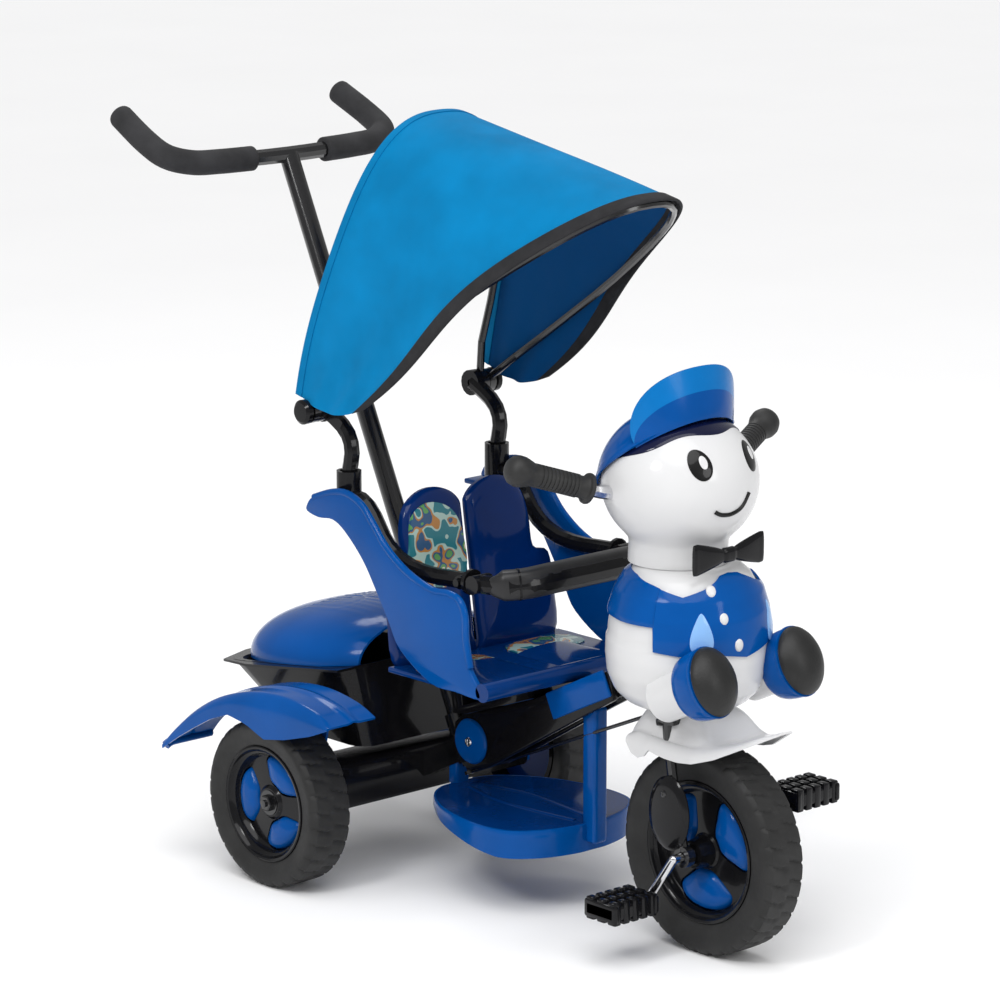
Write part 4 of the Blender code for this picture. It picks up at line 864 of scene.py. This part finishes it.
def make_footrest():
    """A dished tray between two posts, with a smooth apron that is deepest in front."""
    half = [(0.1, 0.0), (0.104, 0.036), (0.125, 0.066), (0.165, 0.092), (0.215, 0.108), (0.265, 0.1135),
            (0.305, 0.103), (0.332, 0.07), (0.3445, 0.03), (0.346, 0.0)]
    line = curve_points([(x, y, 0) for x, y in half + [(x, -y) for x, y in half[-2:0:-1]]], 8, True)
    middle = Vector((0.225, 0, 0))

    def ring(share, height=None):
        """The tray's outline drawn in to a share at a height, or at the apron's lower edge."""
        points = []
        for p in line:
            q = middle + (p - middle) * share
            foot = max(0.0765, 0.0937 - 0.1228 * (p.x - 0.15))
            points.append(at(q.x, q.y, foot if height is None else height))
        return points

    edge = [(1.0, 0.101), (1.0, 0.1085), (0.992, 0.1115), (0.975, 0.1122), (0.96, 0.1112)]
    rings = [ring(0.955), ring(0.985)] + [ring(*layer) for layer in edge]
    apron = surface("footrest_tray", rings, wrap_v=True)
    rear = box_mesh("rear_post", (0.017, 0.022, 0.042), Matrix.Translation(at(0.0995, 0, 0.129)), 0.004)
    front = box_mesh("front_post", (0.024, 0.0225, 0.172), Matrix.Translation(at(0.348, 0, 0.1735)), 0.005)
    dress(joined(apron, rear, front), "blue", "root", ("footrest",), 45)
    floor = [(0.968, 0.1118), (0.945, 0.11), (0.9, 0.1086), (0.6, 0.108), (0.05, 0.108)]
    dish = solid("footrest_dish", [ring(*layer) for layer in floor])
    ribs = [sweep("rib", curve_points([at(0.13, side * 0.01, 0.1075), at(0.21, side * 0.024, 0.1075),
                                       at(0.325, side * 0.012, 0.1075)], 8), circle(0.006, 16))
            for side in SIDES.values()]
    # painted shade: the dish and ribs take the darker blue
    dress(joined(dish, *ribs), "deep", "root", split=40)


def make_front_fender():
    """A guard over the front wheel: a saddle that rises to the doll, lobed skirts and a pointed nose."""
    top = [(0.4655, 0.26), (0.48, 0.265), (0.5, 0.264), (0.54, 0.262), (0.58, 0.264),
           (0.62, 0.274), (0.648, 0.285), (0.6695, 0.293)]
    edge = [(0.4655, 0.252), (0.474, 0.24), (0.486, 0.236), (0.496, 0.24), (0.503, 0.249), (0.512, 0.247),
            (0.53, 0.2445), (0.552, 0.244), (0.575, 0.247), (0.6, 0.255), (0.625, 0.268), (0.648, 0.28),
            (0.6695, 0.2915)]
    flat, curl = 0.72, 0.008    # share of the half width before the skirt, and how far it curls outwards
    rings = []
    for p in curve_points([(x, 0, z) for x, z in top], 8):
        reach = max(0.0, (p.x - 0.575) / 0.0945)
        width = 0.0605 * (1 - 0.86 * min(1.0, reach) ** 1.15)
        crown = 0.037 * exp(-((p.x - 0.523) / 0.06) ** 6)
        low = graph(p.x, edge)
        ring = []
        for share in spaced(-1, 1, 61):
            out = abs(share)
            if out < flat:
                y = share / flat * (width - curl)
                z = p.z - 0.0015 + crown * max(0.0, 1 - (abs(y) / 0.05) ** 5)
            else:
                bend = (out - flat) / (1 - flat)
                y = copysign(width - curl + curl * sin(pi / 2 * min(1.0, bend * 1.6)), share)
                z = p.z - 0.0015 + (low - p.z) * bend ** 1.4
            ring.append(at(p.x, y, z))
        rings.append(ring)
    sheet = settle(shelled(surface("front_fender_shell", rings), 0.0026))
    dress(sheet, "white", "steering", ("front_fender",), 60)


# ---------------------------------------------------------------- doll
HEAD = at(0.491, 0, 0.563)
HEAD_RADII = (0.092, 0.095, 0.085)
CAP_TILT = radians(37.0)
FOOT_TILT = radians(24.0)
BODY_X = 0.506


def on_head(y, z, lift):
    """A point on the face at an offset to the left and above the middle of the head."""
    depth = sqrt(max(0.0, 1 - (y / HEAD_RADII[1]) ** 2 - (z / HEAD_RADII[2]) ** 2)) * HEAD_RADII[0]
    p = Vector((depth, y, z))
    normal = Vector([c / r ** 2 for c, r in zip(p, HEAD_RADII)]).normalized()
    return HEAD + p + lift * normal


def patch_on_head(name, y, z, half_y, half_z, lift, look, tilt=0.0, dome=0.0006):
    """A domed oval print on the face."""
    rings = []
    for share, rise in ((1.0, -0.001), (1.0, 0.0), (0.94, 0.35), (0.8, 0.7), (0.5, 1.0), (0.02, 1.0)):
        height = lift + (dome * rise if rise > 0 else rise)
        oval = [(half_y * share * cos(t), half_z * share * sin(t)) for t in around(36)]
        rings.append([on_head(y + a * cos(tilt) - b * sin(tilt),
                              z + a * sin(tilt) + b * cos(tilt), height) for a, b in oval])
    dress(solid(name, rings), look, "steering", split=60)


def body_point(turn, z, lift=0.0):
    """A point on the doll's body, or off it, at a turn from straight ahead and a height."""
    r = lift + graph(z, ((0.2965, 0.056), (0.299, 0.065), (0.303, 0.072), (0.316, 0.0855), (0.337, 0.094),
                         (0.36, 0.0962), (0.3784, 0.0955), (0.393, 0.095), (0.415, 0.092),
                         (0.438, 0.085), (0.456, 0.074), (0.464, 0.065), (0.4665, 0.061)))
    return at(BODY_X + r * cos(turn), 1.03 * r * sin(turn), z)


def from_front(turn):
    """Degrees between a turn and straight ahead."""
    return abs(degrees(atan2(sin(turn), cos(turn))))


def collar(turn):
    """Height of the jacket's upper edge: a peak in front, a dip under each wing of the tie, high behind."""
    return graph(from_front(turn), ((0, 0.4655), (12, 0.464), (30, 0.452), (48, 0.444), (75, 0.454),
                                    (100, 0.461), (140, 0.464), (180, 0.464)))


def hem(turn):
    """Height of the jacket's lower edge: a front panel that hangs lower than the back."""
    return graph(from_front(turn), ((0, 0.37), (14, 0.3745), (30, 0.379), (50, 0.3765), (68, 0.38),
                                    (69.5, 0.408), (110, 0.409), (180, 0.406)))


def foot_place(side):
    """The middle of a shoe's top, with the sole ahead along Z."""
    return frame_to((cos(FOOT_TILT), 0, sin(FOOT_TILT)), at(0.604, side * 0.072, 0.3485))


def make_doll_body():
    heights = spaced(0.2965, 0.303, 4) + spaced(0.309, 0.456, 30) + spaced(0.4585, 0.4665, 6)
    rings = [[body_point(t, z, -0.002 if z > 0.385 else 0.0) for t in around(128)] for z in heights]
    trunk = solid("doll_shirt_and_trousers", rings)
    leg = [(0.0, -0.02), (0.03, -0.0205), (0.0292, -0.03), (0.0282, -0.042), (0.029, -0.068),
           (0.0, -0.07)]
    legs = [spun("leg", leg, foot_place(side), 48, closed=False) for side in SIDES.values()]
    dress(joined(trunk, *legs), "white", "steering", ("doll_trousers",), 45)

    rows = 26
    turns = sorted(spaced(-pi, pi, 181)[:-1] +
                   [side * radians(a) for side in (-1, 1) for a in (67.6, 68.0, 68.8, 69.6)])
    grid = []
    for turn in turns:
        low, high, t = hem(turn), collar(turn), from_front(turn)
        front = 0.0016 if t < 68.4 else 0.0
        placket = 0.001 * exp(-((turn - radians(-19)) / 0.1) ** 2) if t < 30 else 0.0
        sleeve = 0.0016 * exp(-((t - 92) / 13) ** 2)
        line = []
        for k in range(rows + 1):
            z = low + (high - low) * k / rows
            edge = 0.0008 * (1 - min(1.0, min(k, rows - k) / 2.0))
            line.append(body_point(turn, z, 0.0016 + front + placket + sleeve - edge))
        grid.append(line)
    jacket = shelled(surface("jacket_shell", grid, wrap_u=True), 0.003, -1.0)
    centre = at(BODY_X, 0, 0.42)
    if sum(f.normal.dot(f.center - centre) for f in jacket.data.polygons) < 0:
        jacket.data.flip_normals()
    settle(jacket)
    dress(jacket, "blue", "steering", ("doll_jacket",), 40)
    profile = [(0.0, 0.0022), (0.0045, 0.0018), (0.006, 0.0004), (0.0062, -0.0014), (0.0, -0.0014)]
    for index, (turn, z) in enumerate(((-25, 0.45), (-18, 0.419), (-7, 0.386))):
        turn = radians(turn)
        upward = (body_point(turn, z + 0.004) - body_point(turn, z - 0.004)).normalized()
        sideways = Vector((-sin(turn), cos(turn), 0))
        axes = Matrix((sideways, upward, sideways.cross(upward).normalized())).transposed()
        place = Matrix.Translation(body_point(turn, z, 0.003)) @ axes.to_4x4()
        button = spun(f"jacket_button_{index}", profile, place, 32, closed=False, scale=(1.0, 1.25))
        dress(button, "white", "steering", split=50)
    # painted highlight: a pale oval on each side of the jacket front stands for a reflection on the belly,
    # not a pocket
    for name, side in SIDES.items():
        rings = []
        for share, lift in ((1.0, 0.0022), (1.0, 0.0036), (0.9, 0.0042), (0.5, 0.0046), (0.02, 0.0047)):
            shape = [(0.21 * share * cos(t) * (0.62 - 0.3 * sin(t)), 0.0215 * share * sin(t))
                     for t in around(36)]
            rings.append([body_point(side * (0.6 + a), 0.402 + 1.15 * b, lift) for a, b in shape])
        dress(solid("jacket_highlight_patch_" + name, rings), "highlight_blue", "steering", split=50)

    upper = [(0.0, 0.018), (0.0372, 0.018), (0.0398, 0.015), (0.0404, 0.008), (0.04, -0.001),
             (0.0388, -0.011), (0.0365, -0.0185), (0.033, -0.0232), (0.03, -0.025), (0.0, -0.025)]
    welt = [(0.0412, 0.0168), (0.0416, 0.0145), (0.0408, 0.0125), (0.038, 0.0125), (0.038, 0.0168)]
    sole = [(0.0, 0.0392), (0.009, 0.0388), (0.018, 0.0371), (0.0255, 0.0343), (0.032, 0.0302),
            (0.0368, 0.0255), (0.0395, 0.0215), (0.04, 0.019), (0.0385, 0.018), (0.0, 0.018)]
    for name, side in SIDES.items():
        place, oval = foot_place(side), (1.04, 0.84)
        shoe = [spun(f"shoe_upper_{name}", upper, place, 72, closed=False, scale=oval),
                spun("welt", welt, place, 72, scale=oval)]
        dress(joined(*shoe), "blue", "steering", ("shoe_" + name,), 45)
        dress(spun(f"shoe_sole_{name}", sole, place, 72, closed=False, scale=oval), "sole", "steering",
              ("sole_" + name,), 60)

    tie = []
    for u in spaced(-1, 1, 49):
        out = abs(u)
        half_height = (0.0068 + 0.0135 * max(0.0, (out - 0.16) / 0.84) ** 0.75
                       - 0.002 * max(0.0, out - 0.9) / 0.1)
        thick = 0.0032 + 0.0016 * sin(pi * min(1, out * 1.15)) if out < 0.97 else 0.0022
        if out < 0.15:
            half_height, thick = 0.0092, 0.0056     # the knot
        tie.append([at(0.572 + thick * cos(a), u * 0.057,
                       0.487 + 0.0012 * out + half_height * signed(sin(a), 0.6)) for a in around(28)])
    dress(solid("bow_tie_cloth", tie), "black", "steering", ("bow_tie",), 42)


def make_doll_head():
    profile = [(0.06, 0.4672), (0.0596, 0.475), (0.059, 0.484), (0.0592, 0.492), (0.0606, 0.4965),
               (0.064, 0.5003)]
    ball, middle, half = 0.0935, 0.563, 0.085       # mean radius, height of the middle and half height
    profile += [(ball * sqrt(max(0.0, 1 - ((z - middle) / half) ** 2)), z)
                for z in spaced(0.5045, middle + 0.0849, 44)]
    rings = []
    for r, z in profile:
        blend = min(1.0, max(0.0, (z - 0.49) / 0.02))
        sx, sy = (1 + blend * (radius / ball - 1) for radius in HEAD_RADII[:2])
        rings.append([at(0.489 + 0.002 * blend + r * sx * cos(t), r * sy * sin(t), z)
                      for t in around(112)])
    dress(solid("doll_head_shell", rings), "white", "steering", ("doll_head",), 60)
    for name, side in SIDES.items():
        patch_on_head(f"eye_{name}", side * 0.04, 0.0345, 0.0128, 0.0172, 0.0004, "print", side * 0.1)
        patch_on_head(f"eye_light_{name}", side * 0.04 + 0.0035, 0.0375, 0.0044, 0.0072, 0.0011, "white",
                      side * 0.1, 0.0004)
    smile = ((-0.027, -0.0205), (-0.017, -0.025), (-0.002, -0.0255), (0.013, -0.019), (0.024, -0.004))
    mouth = curve_points([on_head(y, z, 0.0004) for y, z in smile], 8)
    dress(sweep("mouth", mouth, circle(0.0026, 12), up=Vector((1, 0, 0))), "print", "steering", split=60)

    place = frame_to((-sin(CAP_TILT), 0, cos(CAP_TILT)), HEAD)
    turned = place.to_3x3()
    up = turned @ Vector((0, 0, 1))

    def on_ball(turn, height, grow):
        """A point on the head's ball, grown, by its turn about the cap's axis and its height along it."""
        direction = turned @ Vector((cos(turn), sin(turn), 0))
        inverse = [1 / (r + grow) ** 2 for r in HEAD_RADII]
        qa = sum(i * d ** 2 for i, d in zip(inverse, direction))
        qb = 2 * sum(i * d * u * height for i, d, u in zip(inverse, direction, up))
        qc = sum(i * (u * height) ** 2 for i, u in zip(inverse, up)) - 1
        root = max(0.0, qb * qb - 4 * qa * qc)
        return HEAD + up * height + direction * ((-qb + sqrt(root)) / (2 * qa))

    seam_gap = pi / 3
    rings = []
    for height in spaced(0.0385, 0.044, 3) + spaced(0.048, 0.0885, 22):
        band = 0.0012 if height < 0.0445 else 0.0
        ring = []
        for t in around(120):
            seam = 0.0009 * exp(-((((t + seam_gap / 2) % seam_gap) - seam_gap / 2) / 0.035) ** 2)
            ring.append(on_ball(t, height, 0.0036 - seam + band))
        rings.append(ring)
    crown = surface("cap_crown", rings, wrap_v=True)
    fill = bmesh.new()
    fill.from_mesh(crown.data)
    bmesh.ops.holes_fill(fill, edges=[e for e in fill.edges if e.is_boundary and
                                      (place.inverted() @ e.verts[0].co).z > 0.08])
    fill.to_mesh(crown.data)
    fill.free()
    dress(shelled(crown, 0.0024), "blue", "steering", ("doll_cap",), 60)
    button = [(0.0, 0.092), (0.004, 0.0915), (0.0062, 0.0895), (0.0066, 0.087), (0.0, 0.0865)]
    dress(spun("cap_button", button, place, 24, closed=False), "blue", "steering", split=60)
    for name, look, near, far in (("cap_visor_root", "blue", 0.0, 0.52),
                                  ("cap_visor_edge", "light_blue", 0.52, 1.0)):
        rings = []
        for a in spaced(-1, 1, 81):
            turn = radians(66) * a
            line = []
            for s in spaced(near, far, 11):
                reach = s * (1 - abs(a) ** 3) ** 0.6
                r = 0.084 + 0.0265 * reach ** 0.9
                line.append(place @ Vector((r * cos(turn), r * sin(turn), 0.0375 + 0.056 * reach)))
            rings.append(line)
        dress(shelled(surface(name, rings), 0.0028), look, "steering", split=60)
    rings = []
    for a in spaced(-1, 1, 49):
        depth = 0.0215 * (1 - abs(a) ** 2.2) * (1 + 0.18 * cos(a * 9))
        rings.append([on_ball(radians(88) * a, 0.04 - depth * s, 0.001 if 0 < s < 1 else 0.0002)
                      for s in spaced(0, 1, 9)])
    dress(surface("hair_fringe", rings), "hair", "steering", split=60)


# ---------------------------------------------------------------- small parts
def screw_head(name, place, radius, body, look="chrome"):
    dome = [(0.0, 0.0016), (radius * 0.6, 0.0015), (radius * 0.92, 0.0008), (radius, 0.0), (0.0, 0.0)]
    head = spun(name, dome, place, 28, closed=False)
    deep = place @ Matrix.Translation((0, 0, 0.0017))
    cross = [box_mesh("slot", (radius * 1.2, radius * 0.22, 0.0016), deep @ Matrix.Rotation(turn, 4, "Z"))
             for turn in (0, pi / 2)]
    carved(head, "DIFFERENCE", *cross)
    dress(head, look, body, split=30)


def outer_face(node, side):
    """The middle of a node's box on its outer face."""
    low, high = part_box(node)
    middle = (low + high) / 2
    return Vector((middle.x, high.y if side > 0 else low.y, middle.z))


def make_screws():
    for name, side in SIDES.items():
        point = outer_face("pivot_cap_" + name, side)
        screw_head(f"pivot_screw_{name}", frame_to((0, side, 0), point), 0.006, "root")
        point = outer_face("fork_shield_" + name, side) + Vector((-0.004, -side * 0.0002, 0.024))
        screw_head(f"shield_screw_{name}", frame_to((0, side, 0), point), 0.0045, "steering", "painted")


CARRIED = {
    "painted": "main_beam rear_bow front_bow fork push_pole steering_link",
    "chrome": "rear_axle handlebar crankshaft", "white": "steerer_bush",
    "blue": "pivot_cap_right pivot_cap_left beam_plate_right beam_plate_left",
    "black": "housing_right housing_left rear_axle_beam basket seat_bracket guard_arm_right guard_arm_left "
             "canopy_upright_right canopy_upright_left canopy_knob_right canopy_knob_left front_guard "
             "guard_button fork_shield_right fork_shield_left",
}
SOFTENED = {"housing_right": 0.0016, "housing_left": 0.0016, "seat_bracket": 0.0012, "rear_axle_beam": 0.0015}


def dress_frame():
    """CAD nodes that stay in view: welded, smooth-shaded and given their materials."""
    for node, look in ((node, look) for look, nodes in CARRIED.items() for node in nodes.split()):
        obj = frame["nodes"][node]
        bpy.context.view_layer.objects.active = obj
        if obj.data.has_custom_normals:
            bpy.ops.mesh.customdata_custom_splitnormals_clear()
        obj.modifiers.new("Weld", "WELD").merge_threshold = 0.00003
        crisp(rounded(obj, SOFTENED.get(node, 0), 2, 35), 35)
        obj.data.materials.clear()
        obj.data.materials.append(LOOKS[look])


# ---------------------------------------------------------------- stage
def area_light(name, location, target, size, power, colour=(1, 1, 1)):
    data = bpy.data.lights.new(name, "AREA")
    data.shape, data.size, data.energy, data.color = "DISK", size, power, colour
    light = new_object(name, data)
    light.location = location
    light.rotation_euler = (Vector(target) - Vector(location)).to_track_quat("-Z", "Y").to_euler()


def make_stage():
    bm = bmesh.new()
    bmesh.ops.create_grid(bm, x_segments=1, y_segments=1, size=14.0)
    floor = from_bmesh("floor", bm)
    nodes = Nodes("studio_floor")
    nodes.tone(nodes.ramp(nodes.noise(2.0), (0.955, 0.955, 0.96), (0.97, 0.97, 0.975)))
    nodes.set(Roughness=0.9)
    floor.data.materials.append(nodes.material)
    world = bpy.data.worlds.new("studio")
    world.use_nodes = True
    sky = world.node_tree.nodes["Background"]
    sky.inputs["Color"].default_value = (1.0, 1.0, 1.0, 1)
    sky.inputs["Strength"].default_value = 0.46
    bpy.context.scene.world = world
    middle = (cad_low + cad_high) / 2
    sun = bpy.data.lights.new("overhead", "SUN")
    sun.energy, sun.angle = 1.75, radians(50)
    light = new_object("overhead", sun)
    light.rotation_euler = Vector((-0.35, 0.3, -1.0)).to_track_quat("-Z", "Y").to_euler()
    area_light("key", middle + Vector((0.6, -2.4, 1.9)), middle, 0.8, 27)
    area_light("fill", middle + Vector((2.8, 0.2, 1.0)), middle, 1.0, 12)
    area_light("rim", middle + Vector((-1.8, 1.2, 2.4)), middle, 1.0, 16)

    azimuth, elevation, distance = radians(47.7124), radians(12.7068), 5.5606
    target = at(0.1763, 0, 0.4862)
    back = Vector((sin(azimuth) * cos(elevation), -cos(azimuth) * cos(elevation),
                   sin(elevation)))
    data = bpy.data.cameras.new("camera")
    data.lens, data.sensor_width = 162.9, 36.0
    camera = new_object("camera", data)
    camera.location = target + distance * back
    camera.rotation_euler = (-back).to_track_quat("-Z", "Y").to_euler()
    data.clip_start, data.clip_end = 0.1, 60.0
    bpy.context.scene.camera = camera
    bpy.context.scene.view_settings.view_transform = "Standard"


make_wheels()
make_pedals()
make_canopy()
make_push_grips()
make_grips()
make_guard()
make_seat()
make_lid()
make_fenders()
make_footrest()
make_front_fender()
make_doll_body()
make_doll_head()
make_screws()
dress_frame()
make_stage()
